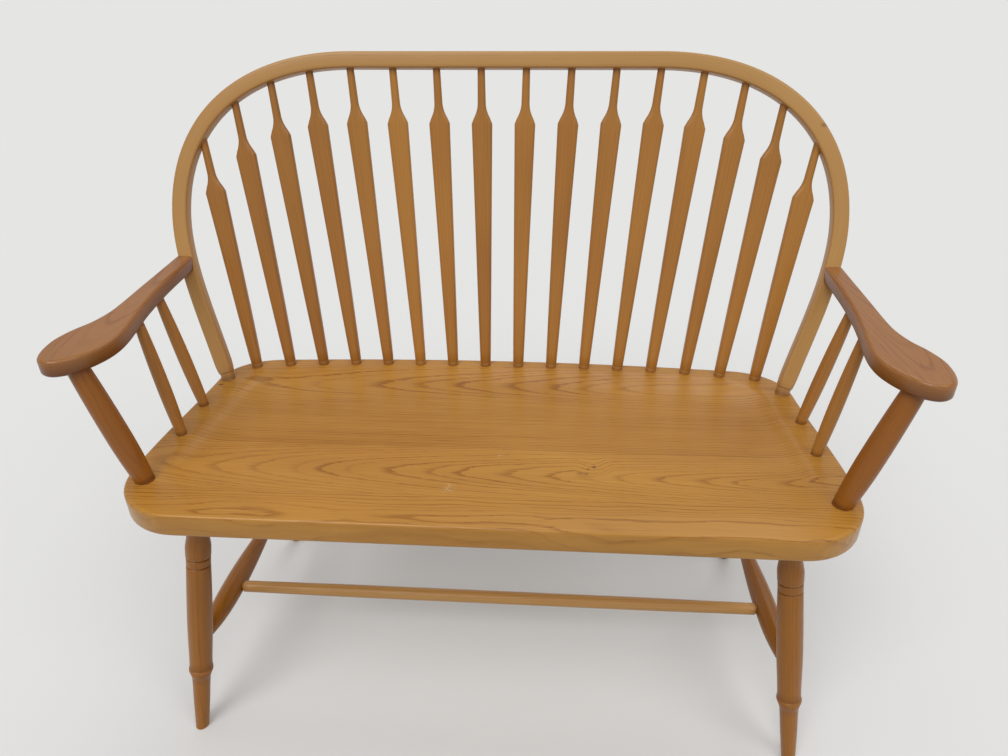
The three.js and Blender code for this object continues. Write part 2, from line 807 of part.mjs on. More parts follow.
function centreStretcherProfile(length) {
  const shoulder = sideStretcherRadius + fitGap;
  const end = shoulder - centreStretcherTenon;
  const rise = centreStretcherEase;
  return [
    [0, end],
    [centreStretcherTenonRadius, end],
    [centreStretcherTenonRadius, shoulder],
    [centreStretcherEndRadius - rise, shoulder],
    [centreStretcherEndRadius, shoulder + rise],
    [centreStretcherRadius, length / 4],
    [centreStretcherRadius, (length * 3) / 4],
    [centreStretcherEndRadius, length - shoulder - rise],
    [centreStretcherEndRadius - rise, length - shoulder],
    [centreStretcherTenonRadius, length - shoulder],
    [centreStretcherTenonRadius, length - end],
    [0, length - end],
  ];
}

function buildSeat() {
  const shape = new THREE.Shape(seatOutline(0));
  const blank = new THREE.ExtrudeGeometry(shape, {
    depth: seatThickness - 2 * seatEase,
    bevelThickness: seatEase,
    bevelSize: seatEase,
    bevelOffset: -seatEase,
    bevelSegments: easeSteps,
    steps: 1,
  });
  blank.translate(0, 0, seatBottom + seatEase);
  const tools = [dishTool(), ...spindleSockets().seat];
  for (const [, side] of bothSides) {
    for (const stick of armSticks(side)) {
      const frame = stickFrame(stick.foot, stick.top);
      tools.push(boreAlong(frame, stick.footRadius + fitGap, -stick.footTenon - fitGap, 2 * cutOverrun));
    }
    rows.forEach((_, row) => {
      const { frame, length } = legPlace(row, side);
      const end = length + legTenonDepth + fitGap;
      tools.push(boreAlong(frame, legTenonRadius + fitGap, length - 2 * cutOverrun, end));
    });
    const down = bowFootDirection();
    const foot = onBow(side * bowFootHalf, 0);
    const above = onBow(side * (bowFootHalf + down.x * bowTenonRise), down.y * bowTenonRise);
    const frame = stickFrame(foot, above);
    tools.push(ringBore(frame, bowTenonRadius + fitGap, -bowTenonDepth - fitGap, 2 * cutOverrun, bowSides));
  }
  return named("seat", carve(blank, new THREE.Matrix4(), tools), seatOak);
}

function buildBack() {
  const group = new THREE.Group();
  const tools = spindleSockets().bow;
  for (const [, side] of bothSides) tools.push(...screwHoles(side).bow);
  group.add(named("back_bow", carve(bowGeometry(), new THREE.Matrix4(), tools), bowOak));
  for (let i = 0; i < spindleCount; i++) {
    const spindle = backSpindle(i);
    const number = String(i + 1).padStart(2, "0");
    group.add(named("back_spindle_" + number, spindleGeometry(spindle), spindleOak, spindle.frame));
  }
  return group;
}

function buildArm(word, side) {
  const group = new THREE.Group();
  group.add(named(word + "_arm", armGeometry(side), armOak));
  for (const stick of armSticks(side)) {
    group.add(named(word + "_" + stick.name, swelling(stick), spindleOak, stickFrame(stick.foot, stick.top)));
  }
  group.add(named(word + "_arm_screw", screwGeometry(), zincSteel, screwFrame(side)));
  group.add(named(word + "_arm_plug", plugGeometry(screwFrame(side)), bowOak, screwFrame(side)));
  return group;
}

// What lies under the floor's level is cut off, which leaves each foot flat.
function belowFloor() {
  const slab = new THREE.BoxGeometry(seatFrontWidth * 2, seatDepth * 2, seatHeight);
  return slab.translate(0, 0, -seatHeight / 2);
}

function buildUnderframe() {
  const group = new THREE.Group();
  const centre = centreStretcherPlace();
  for (const [word, side] of bothSides) {
    const stretcher = sideStretcherPlace(side);
    const socketRadius = sideStretcherEndRadius + fitGap;
    const reach = legBodyRadius + cutOverrun;
    const near = sideStretcherTenonShort - fitGap;
    const holes = [
      boreAlong(stretcher.frame, socketRadius, near, reach),
      boreAlong(stretcher.frame, socketRadius, stretcher.length - reach, stretcher.length - near),
    ];
    rows.forEach((where, row) => {
      const { frame, length } = legPlace(row, side);
      const leg = carve(turned(legProfile(length)), frame, [belowFloor(), holes[row]]);
      group.add(named(word + "_" + where + "_leg", leg, legOak, frame));
    });
    const from = sideStretcherRadius - centreStretcherTenon;
    const to = sideStretcherRadius * 2;
    const span = side < 0 ? [from, to] : [centre.length - to, centre.length - from];
    const mortise = boreAlong(centre.frame, centreStretcherTenonRadius + fitGap, ...span);
    const body = carve(turned(sideStretcherProfile(stretcher.length)), stretcher.frame, [mortise]);
    group.add(named(word + "_side_stretcher", body, legOak, stretcher.frame));
  }
  group.add(named("centre_stretcher", turned(centreStretcherProfile(centre.length)), legOak, centre.frame));
  return group;
}

const bench = new THREE.Group();
bench.add(buildSeat(), buildBack(), buildUnderframe());
for (const [word, side] of bothSides) bench.add(buildArm(word, side));

// The frame's origin is on the floor, under the middle of the whole bench.
const whole = new THREE.Box3().setFromObject(bench);
bench.position.y = -(whole.min.y + whole.max.y) / 2;
const part = new THREE.Group();
part.add(bench);

export default part;
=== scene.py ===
"""A two-seat bow-back bench in honey oak: its smooth pieces and finishes, in metres."""

import logging
import math
from collections.abc import Callable, Iterator, Sequence
from dataclasses import astuple, dataclass, field
from enum import Enum

import bmesh
import bpy
from mathutils import Matrix, Vector


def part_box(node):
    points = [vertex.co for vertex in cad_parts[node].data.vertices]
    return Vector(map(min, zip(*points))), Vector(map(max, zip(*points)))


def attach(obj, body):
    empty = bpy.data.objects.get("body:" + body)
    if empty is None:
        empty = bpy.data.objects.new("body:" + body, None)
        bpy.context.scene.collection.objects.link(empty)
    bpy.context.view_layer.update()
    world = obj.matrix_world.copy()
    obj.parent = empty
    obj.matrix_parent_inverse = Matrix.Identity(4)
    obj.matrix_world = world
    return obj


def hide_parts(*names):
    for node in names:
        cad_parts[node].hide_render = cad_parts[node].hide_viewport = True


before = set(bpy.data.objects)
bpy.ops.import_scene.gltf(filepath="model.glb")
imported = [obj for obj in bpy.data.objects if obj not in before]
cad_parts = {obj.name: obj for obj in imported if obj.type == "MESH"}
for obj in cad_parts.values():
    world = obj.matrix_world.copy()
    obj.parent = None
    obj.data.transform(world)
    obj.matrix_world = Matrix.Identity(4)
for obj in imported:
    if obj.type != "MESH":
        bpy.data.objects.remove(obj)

log = logging.getLogger("bench")

Piece = bpy.types.Object
Socket = bpy.types.NodeSocket
Input = Socket | float | Sequence[float]
Colour = tuple[float, float, float]
Radii = tuple[float, float, float]
Profile = list[tuple[float, float]]

BODY = "root"
GRAIN = "grain"
# Darkening held at the pieces' points: dark glue lines and stained edges, together with painted
# shade on the arms' sides and painted contact shade at the joints.
STAIN_AND_SHADE = "stain_and_shade"
TONE = "tone"
SMOOTH_ANGLE = math.radians(32)

# How far from the middle of a turned line its edge and its groove lie.
LINE_EDGE = 0.0012
LINE_GROOVE = 0.0003


class Named(Enum):
    """A choice whose name is also a part of the pieces' names."""

    @property
    def word(self) -> str:
        """The name in lower case."""
        return self.name.lower()


class Side(Named):
    """The two ends of the bench, as someone facing it sees them."""

    LEFT = -1
    RIGHT = 1


class Row(Named):
    """The two rows of legs and arm spindles."""

    FRONT = 0
    REAR = 1


def lerp(a: float, b: float, share: float) -> float:
    """The value a share of the way from a to b."""
    return a + (b - a) * share


def smoothstep(value: float, low: float = 0.0, high: float = 1.0) -> float:
    """A soft step from 0 at low to 1 at high."""
    share = min(max((value - low) / (high - low), 0.0), 1.0)
    return share * share * (3 - 2 * share)


def fading(distance: float, width: float) -> float:
    """How strong a thin line is at a distance from it, from 1 down towards 0."""
    return math.exp(-abs(distance) / width)


def circle(sides: int) -> list[tuple[float, float]]:
    """Points round a circle of radius 1, across and out."""
    angles = [2 * math.pi * index / sides for index in range(sides)]
    return [(math.cos(angle), math.sin(angle)) for angle in angles]


def paint(red: int, green: int, blue: int) -> Colour:
    """A colour chart value from 0 to 255 a channel, as the linear colour that shaders take."""
    shares = [channel / 255 for channel in (red, green, blue)]
    return tuple(s / 12.92 if s <= 0.04045 else ((s + 0.055) / 1.055) ** 2.4 for s in shares)


def bezier(start: Vector, near: Vector, far: Vector, end: Vector, steps: int) -> list[Vector]:
    """Points along a cubic curve.

    Args:
        start: Where the curve begins.
        near: The handle of its start.
        far: The handle of its end.
        end: Where the curve ends.
        steps: How many steps the curve is cut into.

    Returns:
        The points, with both ends.
    """
    points = []
    for step in range(steps + 1):
        t = step / steps
        u = 1 - t
        points.append(start * u**3 + near * (3 * u * u * t) + far * (3 * u * t * t) + end * t**3)
    return points


def evenly(points: Sequence[Vector], count: int) -> list[Vector]:
    """Places points at equal distances round a closed outline.

    Args:
        points: The outline, without its first point repeated at the end.
        count: How many points to place.

    Returns:
        The new outline, which starts at the first point.
    """
    loop = [*points, points[0]]
    runs = [(b - a).length for a, b in zip(loop, loop[1:])]
    step = sum(runs) / count
    placed = []
    at, gone = 0, 0.0
    for index in range(count):
        goal = index * step
        while gone + runs[at] < goal:
            gone += runs[at]
            at += 1
        placed.append(loop[at].lerp(loop[at + 1], (goal - gone) / runs[at]))
    return placed


def deselect() -> None:
    """Leaves edit mode and lets go of every object."""
    if bpy.context.object and bpy.context.object.mode != "OBJECT":
        bpy.ops.object.mode_set(mode="OBJECT")
    bpy.ops.object.select_all(action="DESELECT")


def select_parts(piece: Piece, kind: str, wanted: Callable[[object], bool]) -> None:
    """Selects the edges or the faces of a piece that a test wants.

    Args:
        piece: The piece, in edit mode.
        kind: EDGE or FACE.
        wanted: Says of an edge or a face whether it is wanted.
    """
    bpy.ops.mesh.select_all(action="DESELECT")
    bpy.ops.mesh.select_mode(type=kind)
    mesh = bmesh.from_edit_mesh(piece.data)
    for part in mesh.edges if kind == "EDGE" else mesh.faces:
        part.select_set(wanted(part))
    bmesh.update_edit_mesh(piece.data)


@dataclass(frozen=True)
class Section:
    """A rounded section between a circle, at power 2, and a soft square, at higher powers."""

    half_width: float
    half_depth: float
    power: float = 2.0

    @staticmethod
    def round(radius: float) -> "Section":
        """A round section."""
        return Section(radius, radius)

    def corners(self, sides: int) -> list[tuple[float, float]]:
        """The section's points, across and out."""
        bent = [(self._bend(c), self._bend(s)) for c, s in circle(sides)]
        return [(self.half_width * across, self.half_depth * out) for across, out in bent]

    def _bend(self, share: float) -> float:
        """One part of a circle's point, pushed out to the section's own roundness."""
        return math.copysign(abs(share) ** (2 / self.power), share)

    def towards(self, other: "Section", share: float) -> "Section":
        """The section a share of the way to another one."""
        return Section(*(lerp(a, b, share) for a, b in zip(astuple(self), astuple(other))))


@dataclass(frozen=True)
class Stick:
    """The axis of a straight piece, from the middle of its foot to the middle of its top."""

    foot: Vector
    top: Vector
    across: Vector = field(default_factory=lambda: Vector((1, 0, 0)))

    @property
    def length(self) -> float:
        """How long the stick is between its two ends."""
        return (self.top - self.foot).length

    def at(self, across: float, out: float, along: float) -> Vector:
        """A point by its place on the stick.

        Args:
            across: How far it is across the stick.
            out: How far it stands out to the front.
            along: How far it is from the foot.

        Returns:
            The point in the bench's frame.
        """
        way = (self.top - self.foot).normalized()
        side = (self.across - way * self.across.dot(way)).normalized()
        return self.foot + side * across + side.cross(way) * out + way * along


class Loft:
    """A closed skin that grows ring by ring, as its end face is extruded and set in place."""

    def __init__(self, name: str, sides: int) -> None:
        """Starts from a filled circle.

        Args:
            name: The piece's name.
            sides: How many points each ring has.
        """
        deselect()
        bpy.ops.mesh.primitive_circle_add(vertices=sides, radius=1.0, fill_type="NGON")
        self.piece = bpy.context.active_object
        self.piece.name = self.piece.data.name = name
        bpy.ops.object.mode_set(mode="EDIT")
        bpy.ops.mesh.select_mode(type="FACE")
        bpy.ops.mesh.select_all(action="SELECT")
        self._last: list[Vector] = []

    def draw(self, ring: Sequence[Vector], grain: Sequence[Vector], stain_and_shade: float = 0.0) -> None:
        """Extrudes the end face and sets it on a new ring.

        Args:
            ring: The ring's points in the bench's frame.
            grain: The same points in the straight timber that the piece was cut from.
            stain_and_shade: How much darker the piece is painted there, from 0 to 1, partly
                stained finish and partly painted shade.
        """
        if self._last:
            bpy.ops.mesh.extrude_region()
        mesh = bmesh.from_edit_mesh(self.piece.data)
        layers = mesh.verts.layers
        timber = layers.float_vector.get(GRAIN) or layers.float_vector.new(GRAIN)
        shade = layers.float.get(STAIN_AND_SHADE) or layers.float.new(STAIN_AND_SHADE)
        face = next(face for face in mesh.faces if face.select)
        for corner, point, place in zip(self._in_order(list(face.verts)), ring, grain):
            corner.co = point
            corner[timber] = place
            corner[shade] = stain_and_shade
        self._last = list(ring)
        bmesh.update_edit_mesh(self.piece.data)

    def _in_order(self, corners: list[bmesh.types.BMVert]) -> list[bmesh.types.BMVert]:
        """Puts the end face's corners in the order of the ring that they were extruded from.

        Args:
            corners: The corners as the face has them.

        Returns:
            The same corners, in the ring's order.
        """
        if not self._last:
            return corners
        first, second = self._last[0], self._last[1]
        start = min(range(len(corners)), key=lambda i: (corners[i].co - first).length)
        turned = corners[start:] + corners[:start]
        if (turned[1].co - second).length > (turned[-1].co - second).length:
            turned = [turned[0], *reversed(turned[1:])]
        return turned

    def close(self) -> Piece:
        """Turns all faces outwards and smooths the skin.

        Returns:
            The finished piece.
        """
        bpy.ops.mesh.select_all(action="SELECT")
        bpy.ops.mesh.normals_make_consistent(inside=False)
        bpy.ops.object.mode_set(mode="OBJECT")
        bpy.ops.object.shade_smooth_by_angle(angle=SMOOTH_ANGLE)
        return self.piece


def easy_profile(knots: Profile, steps: int) -> Profile:
    """Draws a smooth profile through knots, with no overshoot between them.

    Args:
        knots: Distance along the piece and radius, in order along it.
        steps: How many steps there are from each knot to the next.

    Returns:
        The fine profile, as distance along the piece and radius.
    """
    runs = [b[0] - a[0] for a, b in zip(knots, knots[1:])]
    slopes = [(b[1] - a[1]) / run for a, b, run in zip(knots, knots[1:], runs)]
    lean = [slopes[0]]
    for before, after in zip(slopes, slopes[1:]):
        flat = before * after <= 0
        lean.append(0.0 if flat else 2 * before * after / (before + after))
    lean.append(slopes[-1])
    fine = []
    for index, run in enumerate(runs):
        for step in range(steps):
            t = step / steps
            start, end = knots[index][1], knots[index + 1][1]
            radius = start * (1 + 2 * t) * (1 - t) ** 2 + end * t * t * (3 - 2 * t)
            radius += run * t * (1 - t) * (lean[index] * (1 - t) - lean[index + 1] * t)
            fine.append((knots[index][0] + run * t, radius))
    fine.append(knots[-1])
    return fine


def swelling(radii: Radii, belly_share: float, length: float) -> Profile:
    """A profile that swells from its foot to its belly and narrows again to its top.

    Args:
        radii: The radius at the foot, at the thickest place and at the top.
        belly_share: Where the thickest place is, as a share of the way.
        length: The distance from the foot to the top.

    Returns:
        Distance along the stick and radius, in small steps.
    """
    foot, belly, top = radii
    steps = 28
    points = []
    for step in range(steps + 1):
        share = step / steps
        low = share < belly_share
        out = 1 - share / belly_share if low else (share - belly_share) / (1 - belly_share)
        points.append((length * share, lerp(belly, foot if low else top, out**2)))
    return points


def turn(
    name: str, stick: Stick, profile: Profile, start: float, joints: Sequence[float] = ()
) -> Piece:
    """Turns a round piece on its stick's axis, darker in its grooves and at its joints, where the
    darkening is a glue line with painted contact shade.

    Args:
        name: The piece's name.
        stick: The piece's axis.
        profile: Distance along the axis and radius.
        start: How far along its timber the piece began.
        joints: Distances along the axis where the piece enters another one.

    Returns:
        The finished piece.
    """
    sides, groove_reach, groove_depth, joint_width = 40, 0.005, 0.0012, 0.0022
    shift = Vector((0, 0, start))
    loft = Loft(name, sides)
    for along, radius in profile:
        near = [r for place, r in profile if abs(place - along) < groove_reach]
        groove = min(max((sum(near) / len(near) - radius) / groove_depth, 0.0), 1.0)
        # Near a joint the piece is painted darker: a dark glue line with painted contact shade.
        joint = max((fading(along - place, joint_width) for place in joints), default=0.0)
        corners = Section.round(radius).corners(sides)
        ring = [stick.at(across, out, along) for across, out in corners]
        grain = [Vector((across, out, along)) + shift for across, out in corners]
        loft.draw(ring, grain, max(groove, joint))
    return loft.close()


@dataclass(frozen=True)
class Pattern:
    """A soft noise, by its cells in a metre: across the timber, down into it and along it."""

    cells: tuple[float, float, float] = (1.0, 1.0, 1.0)
    detail: float = 2.0
    roughness: float = 0.5


FIBRES = Pattern((520, 520, 8), 3.0, 0.65)
PORES = Pattern((1100, 1100, 42), 1.0)
CLOUDS = Pattern((11, 11, 3.2))
BLUSHES = Pattern((4.5, 4.5, 2.6), 1.0)
WAVES = Pattern((22, 22, 4.5))
FRAYS = Pattern((560, 560, 20), 2.0, 0.6)
WANDERING = Pattern(detail=1.0, roughness=0.4)
UNEVEN_YEARS = Pattern((0.45, 1.0, 1.0), 1.0)
SMEARS = Pattern((9, 9, 9), 3.0)
FLECKS = Pattern((420, 420, 420), 1.0)
PLATING = Pattern((900, 900, 900), 3.0)


class Graph:
    """Adds and links the nodes of one material."""

    def __init__(self, material: bpy.types.Material) -> None:
        """Empties the material's node tree.

        Args:
            material: The material to dress.
        """
        material.use_nodes = True
        self.tree = material.node_tree
        self.tree.nodes.clear()

    def node(self, kind: str, **settings: object) -> bpy.types.ShaderNode:
        """Adds a node.

        Args:
            kind: The node's kind, without its first word.
            **settings: The node's own settings.

        Returns:
            The node.
        """
        node = self.tree.nodes.new("ShaderNode" + kind)
        for name, value in settings.items():
            setattr(node, name, value)
        return node

    def feed(self, sockets: Sequence[Socket], *values: Input) -> None:
        """Links sockets to other ones, or sets their values.

        Args:
            sockets: The sockets to feed.
            *values: What goes into each, in the same order.
        """
        for socket, value in zip(sockets, values):
            if isinstance(value, Socket):
                self.tree.links.new(value, socket)
            else:
                socket.default_value = value

    def math(self, operation: str, *values: Input, clamp: bool = False) -> Socket:
        """Works out a sum.

        Args:
            operation: The kind of sum.
            *values: The one, two or three values that it takes.
            clamp: Whether the result is kept from 0 to 1.

        Returns:
            The result.
        """
        node = self.node("Math", operation=operation, use_clamp=clamp)
        self.feed(node.inputs, *values)
        return node.outputs[0]

    def swing(self, noise: Socket, reach: Input, middle: Input) -> Socket:
        """A value that noise pushes to both sides of its middle."""
        return self.math("MULTIPLY_ADD", self.math("SUBTRACT", noise, 0.5), reach, middle)

    def vector(self, x: Input, y: Input, z: Input) -> Socket:
        """Joins three parts.

        Args:
            x: The first part.
            y: The second part.
            z: The third part.

        Returns:
            The vector of them.
        """
        node = self.node("CombineXYZ")
        self.feed(node.inputs, x, y, z)
        return node.outputs[0]

    def parts(self, vector: Socket) -> list[Socket]:
        """Takes a vector apart.

        Args:
            vector: The vector.

        Returns:
            Its three parts.
        """
        node = self.node("SeparateXYZ")
        self.feed(node.inputs, vector)
        return list(node.outputs)

    def place(self) -> Socket:
        """The place in the bench's frame."""
        return self.node("TexCoord").outputs["Object"]

    def stretched(self, vector: Socket, scale: Sequence[float]) -> Socket:
        """Stretches a vector.

        Args:
            vector: The vector.
            scale: What each of its parts is multiplied by.

        Returns:
            The stretched vector.
        """
        node = self.node("VectorMath", operation="MULTIPLY")
        self.feed(node.inputs, vector, scale)
        return node.outputs[0]

    def noise(self, place: Socket, pattern: Pattern) -> Socket:
        """Reads a soft noise.

        Args:
            place: Where it is read.
            pattern: How fine and how rough it is.

        Returns:
            The noise, from 0 to 1.
        """
        node = self.node("TexNoise", noise_dimensions="3D")
        names = ("Vector", "Scale", "Detail", "Roughness")
        vector = self.stretched(place, pattern.cells)
        self.feed([node.inputs[n] for n in names], vector, 1.0, pattern.detail, pattern.roughness)
        return node.outputs[0]

    def chance(self, number: Socket) -> Socket:
        """Draws a random value for each whole number.

        Args:
            number: The whole number.

        Returns:
            The value, from 0 to 1.
        """
        node = self.node("TexWhiteNoise", noise_dimensions="1D")
        self.feed([node.inputs["W"]], number)
        return node.outputs["Value"]

    def step(
        self, value: Input, low: Input, high: Input, start: Input = 0.0, end: Input = 1.0
    ) -> Socket:
        """Makes a soft step.

        Args:
            value: What decides how far up the step a place is.
            low: The value at the step's foot.
            high: The value at its head.
            start: The result at the foot and before it.
            end: The result at the head and after it.

        Returns:
            The result.
        """
        node = self.node("MapRange", interpolation_type="SMOOTHSTEP")
        self.feed(node.inputs, value, low, high, start, end)
        return node.outputs[0]

    def mix(self, share: Input, a: Input, b: Input, blend: str = "MIX") -> Socket:
        """Mixes two colours.

        Args:
            share: How much of the second one there is.
            a: The first colour.
            b: The second colour.
            blend: How the second one is laid over the first.

        Returns:
            The mixed colour.
        """
        # The node's two colours are its inputs 6 and 7, and the mixed one is its output 2.
        node = self.node("Mix", data_type="RGBA", blend_type=blend)
        colours = [(*value, 1.0) if isinstance(value, tuple) else value for value in (a, b)]
        self.feed([node.inputs[0], *node.inputs[6:8]], share, *colours)
        return node.outputs[2]

    def attribute(self, name: str, output: str) -> Socket:
        """A value that the mesh holds at its points."""
        return self.node("Attribute", attribute_name=name).outputs[output]

    def shader(self, colour: Input, rough: Input) -> bpy.types.ShaderNode:
        """Adds the material's one shader and its output.

        Args:
            colour: The surface's colour.
            rough: How rough the surface is.

        Returns:
            The shader's node.
        """
        shader = self.node("BsdfPrincipled")
        self.feed([shader.inputs[name] for name in ("Base Color", "Roughness")], colour, rough)
        self.feed([self.node("OutputMaterial").inputs["Surface"]], shader.outputs[0])
        return shader


@dataclass(frozen=True)
class Blemish:
    """A small mark in the wood: a knot, or a scuff in the lacquer."""

    place: Vector
    radius: float
    colour: Colour
    strength: float
    length: float = 1.0
    bends_grain: float = 0.0
    broken: bool = False

    # Between which values of the noise a broken mark shows.
    OPENING = (0.46, 0.6)

    def spot(self, graph: Graph, spread: float = 1.0) -> Socket:
        """Draws the mark as a soft round spot.

        Args:
            graph: The material's graph.
            spread: How many times wider than the mark the spot is.

        Returns:
            How strong the spot is, 1 in its middle.
        """
        offset = graph.node("VectorMath", operation="SUBTRACT")
        graph.feed(offset.inputs, graph.place(), self.place)
        distance = graph.node("VectorMath", operation="LENGTH")
        graph.feed(distance.inputs, graph.stretched(offset.outputs[0], (1 / self.length, 1, 1)))
        spot = graph.step(distance.outputs["Value"], 0.0, self.radius * spread, 1.0, 0.0)
        if self.broken:
            flecks = graph.noise(offset.outputs[0], FLECKS)
            spot = graph.math("MULTIPLY", spot, graph.step(flecks, *self.OPENING))
        return spot


@dataclass(frozen=True)
class Board:
    """One board of a piece, by where it lay in its log."""

    heart: float
    depth: float
    edge: float = 0.0
    taper: float = 0.0
    wander: float = 0.02
    waviness: float = 0.003
    tone: float = 0.0


@dataclass(frozen=True)
class Lay:
    """How a place of a piece lay in its log, and what its board is like there.

    The heart is how far across the piece the log's heart is, side and rise are how far the place
    is across from it and above it, and seam is how dark the joint between two boards is.
    """

    along: Input
    side: Input
    rise: Input
    seam: Input
    heart: Input
    wander: Input
    waviness: Input
    tone: Input


@dataclass(frozen=True)
class OakFinish:
    """Honey oak under a satin lacquer, with growth rings through the whole of the timber."""

    name: str
    slot: str
    light: Colour
    dark: Colour
    boards: tuple[Board, ...]
    ring_width: float = 0.0045
    wander_pace: float = 1.2
    ragged: float = 0.5
    ring_strength: float = 0.6
    edge_rings: float | None = None
    fibre: float = 0.7
    pores: float = 0.25
    blush: float = 0.2
    roughness: float = 0.36
    coat: float = 0.1
    blemishes: tuple[Blemish, ...] = ()

    # The shade between the light and the dark colour.
    PLAIN_SHADE = 0.24
    CLOUD_STRENGTH = 0.7
    UPRIGHT_TO_LEVEL = (0.2, 0.8)
    # The blush, and what is laid over it.
    BLUSH_PATCH = (0.35, 0.75)
    BLUSH_COLOUR = (1.0, 0.78, 0.62)
    DEEP_SHARES = (0.5, 0.39, 0.24)
    STAIN_AND_SHADE_STRENGTH = 0.7
    PORE_OPENING = (0.54, 0.68)
    LATE_PORES = 0.16
    # The joints between the boards.
    SEAM_WIDTH = 0.0012
    SEAM_SHADE = 0.2
    # The growth rings: where the noise that moves the heart is read, and how a year runs.
    HEART_ROWS = ((0.3, 0.7), (5.1, 2.2))
    BOARD_CHANGE = 37.0
    KNOT_REACH = 6.0
    YEAR_CHANGE = 1.6
    YEAR_FADE = (0.04, 0.42)
    YEAR_START = (0.0, 0.05)
    YEAR_STRENGTH = 0.75
    FAINTEST_YEAR = 0.3
    # The surface.
    PORE_ROUGHNESS = 0.14
    SMEAR_ROUGHNESS = 0.16
    RING_HEIGHT = 0.25
    BUMP_STRENGTH = 0.22
    BUMP_DEPTH = 0.0004
    LACQUER_IOR = 1.45
    COAT_ROUGHNESS = 0.2

    def material(self) -> bpy.types.Material:
        """The finish's material, made the first time that it is asked for."""
        return bpy.data.materials.get(self.name) or self._mix_up()

    def _mix_up(self) -> bpy.types.Material:
        """Builds the material's nodes.

        Returns:
            The new material.
        """
        material = bpy.data.materials.new(self.name)
        graph = Graph(material)
        grain = graph.attribute(GRAIN, "Vector")
        lay = self._in_log(graph, grain)
        early, hard = self._rings(graph, grain, lay)
        pores = graph.step(graph.noise(grain, PORES), *self.PORE_OPENING)
        pores = graph.math("MULTIPLY", pores, graph.math("ADD", early, self.LATE_PORES))
        colour = self._colour(graph, grain, lay, early, pores)
        rough = graph.math("MULTIPLY_ADD", pores, self.PORE_ROUGHNESS, self.roughness)
        rough = graph.swing(graph.noise(graph.place(), SMEARS), self.SMEAR_ROUGHNESS, rough)
        bump = graph.node("Bump")
        bump.inputs["Strength"].default_value = self.BUMP_STRENGTH
        bump.inputs["Distance"].default_value = self.BUMP_DEPTH
        sunk = graph.math("MULTIPLY", pores, -1.0)
        height = graph.math("MULTIPLY_ADD", hard, self.RING_HEIGHT, sunk)
        graph.feed([bump.inputs["Height"]], height)
        shader = graph.shader(colour, rough)
        graph.feed([shader.inputs["Normal"]], bump.outputs[0])
        shader.inputs["IOR"].default_value = self.LACQUER_IOR
        shader.inputs["Coat Weight"].default_value = self.coat
        shader.inputs["Coat Roughness"].default_value = self.COAT_ROUGHNESS
        return material

    def _colour(
        self, graph: Graph, grain: Socket, lay: Lay, early: Socket, pores: Socket
    ) -> Socket:
        """The wood's colour, from its rings and fibres up to the marks on it.

        Args:
            graph: The material's graph.
            grain: The place in the timber.
            lay: How the place lay in its log.
            early: How much of the soft early wood is there.
            pores: How open the pores are.

        Returns:
            The colour.
        """
        shade = graph.math("MULTIPLY", early, self._ring_strength(graph))
        shade = graph.swing(graph.noise(grain, FIBRES), self.fibre, shade)
        shade = graph.swing(graph.noise(grain, CLOUDS), self.CLOUD_STRENGTH, shade)
        tone = graph.math("ADD", graph.attribute(TONE, "Fac"), lay.tone)
        tone = graph.math("ADD", tone, self.PLAIN_SHADE)
        colour = graph.mix(graph.math("ADD", shade, tone, clamp=True), self.light, self.dark)
        blush = graph.step(graph.noise(grain, BLUSHES), *self.BLUSH_PATCH, 0.0, self.blush)
        colour = graph.mix(blush, colour, self.BLUSH_COLOUR, "MULTIPLY")
        deep = tuple(channel * share for channel, share in zip(self.dark, self.DEEP_SHARES))
        # Dark glue lines, stained edges and the seat's seams, with the painted shade on the arms'
        # sides and the painted contact shade at the joints.
        stain_and_shade = graph.math("ADD", graph.attribute(STAIN_AND_SHADE, "Fac"), lay.seam, clamp=True)
        for cover, strength in ((pores, self.pores), (stain_and_shade, self.STAIN_AND_SHADE_STRENGTH)):
            colour = graph.mix(graph.math("MULTIPLY", cover, strength), colour, deep)
        for blemish in self.blemishes:
            cover = graph.math("MULTIPLY", blemish.spot(graph), blemish.strength)
            colour = graph.mix(cover, colour, blemish.colour)
        return colour

    def _ring_strength(self, graph: Graph) -> Input:
        """How dark the rings are, which may be calmer on the upright faces.

        Args:
            graph: The material's graph.

        Returns:
            The rings' strength.
        """
        if self.edge_rings is None:
            return self.ring_strength
        upright = graph.parts(graph.node("NewGeometry").outputs["Normal"])[2]
        level = graph.math("ABSOLUTE", upright)
        return graph.step(level, *self.UPRIGHT_TO_LEVEL, self.edge_rings, self.ring_strength)

    def _in_log(self, graph: Graph, grain: Socket) -> Lay:
        """Sets each board in its own log.

        Args:
            graph: The material's graph.
            grain: The place in the timber: across, down from the top, and along.

        Returns:
            How the place lay in its board's log.
        """
        across, down, along = graph.parts(grain)
        names = ("heart", "depth", "taper", "wander", "waviness", "tone")
        values = {name: getattr(self.boards[0], name) for name in names}
        seam = 0.0
        for before, board in zip(self.boards, self.boards[1:]):
            past = graph.math("GREATER_THAN", across, board.edge)
            for name in names:
                change = getattr(board, name) - getattr(before, name)
                values[name] = graph.math("MULTIPLY_ADD", past, change, values[name])
            off = graph.math("ABSOLUTE", graph.math("SUBTRACT", across, board.edge))
            joint = graph.step(off, 0.0, self.SEAM_WIDTH, self.SEAM_SHADE, 0.0)
            seam = graph.math("ADD", seam, joint)
        side = graph.math("SUBTRACT", across, values["heart"])
        down = graph.math("ADD", down, values.pop("depth"))
        rise = graph.math("SUBTRACT", down, graph.math("MULTIPLY", along, values.pop("taper")))
        return Lay(along, side, rise, seam, **values)

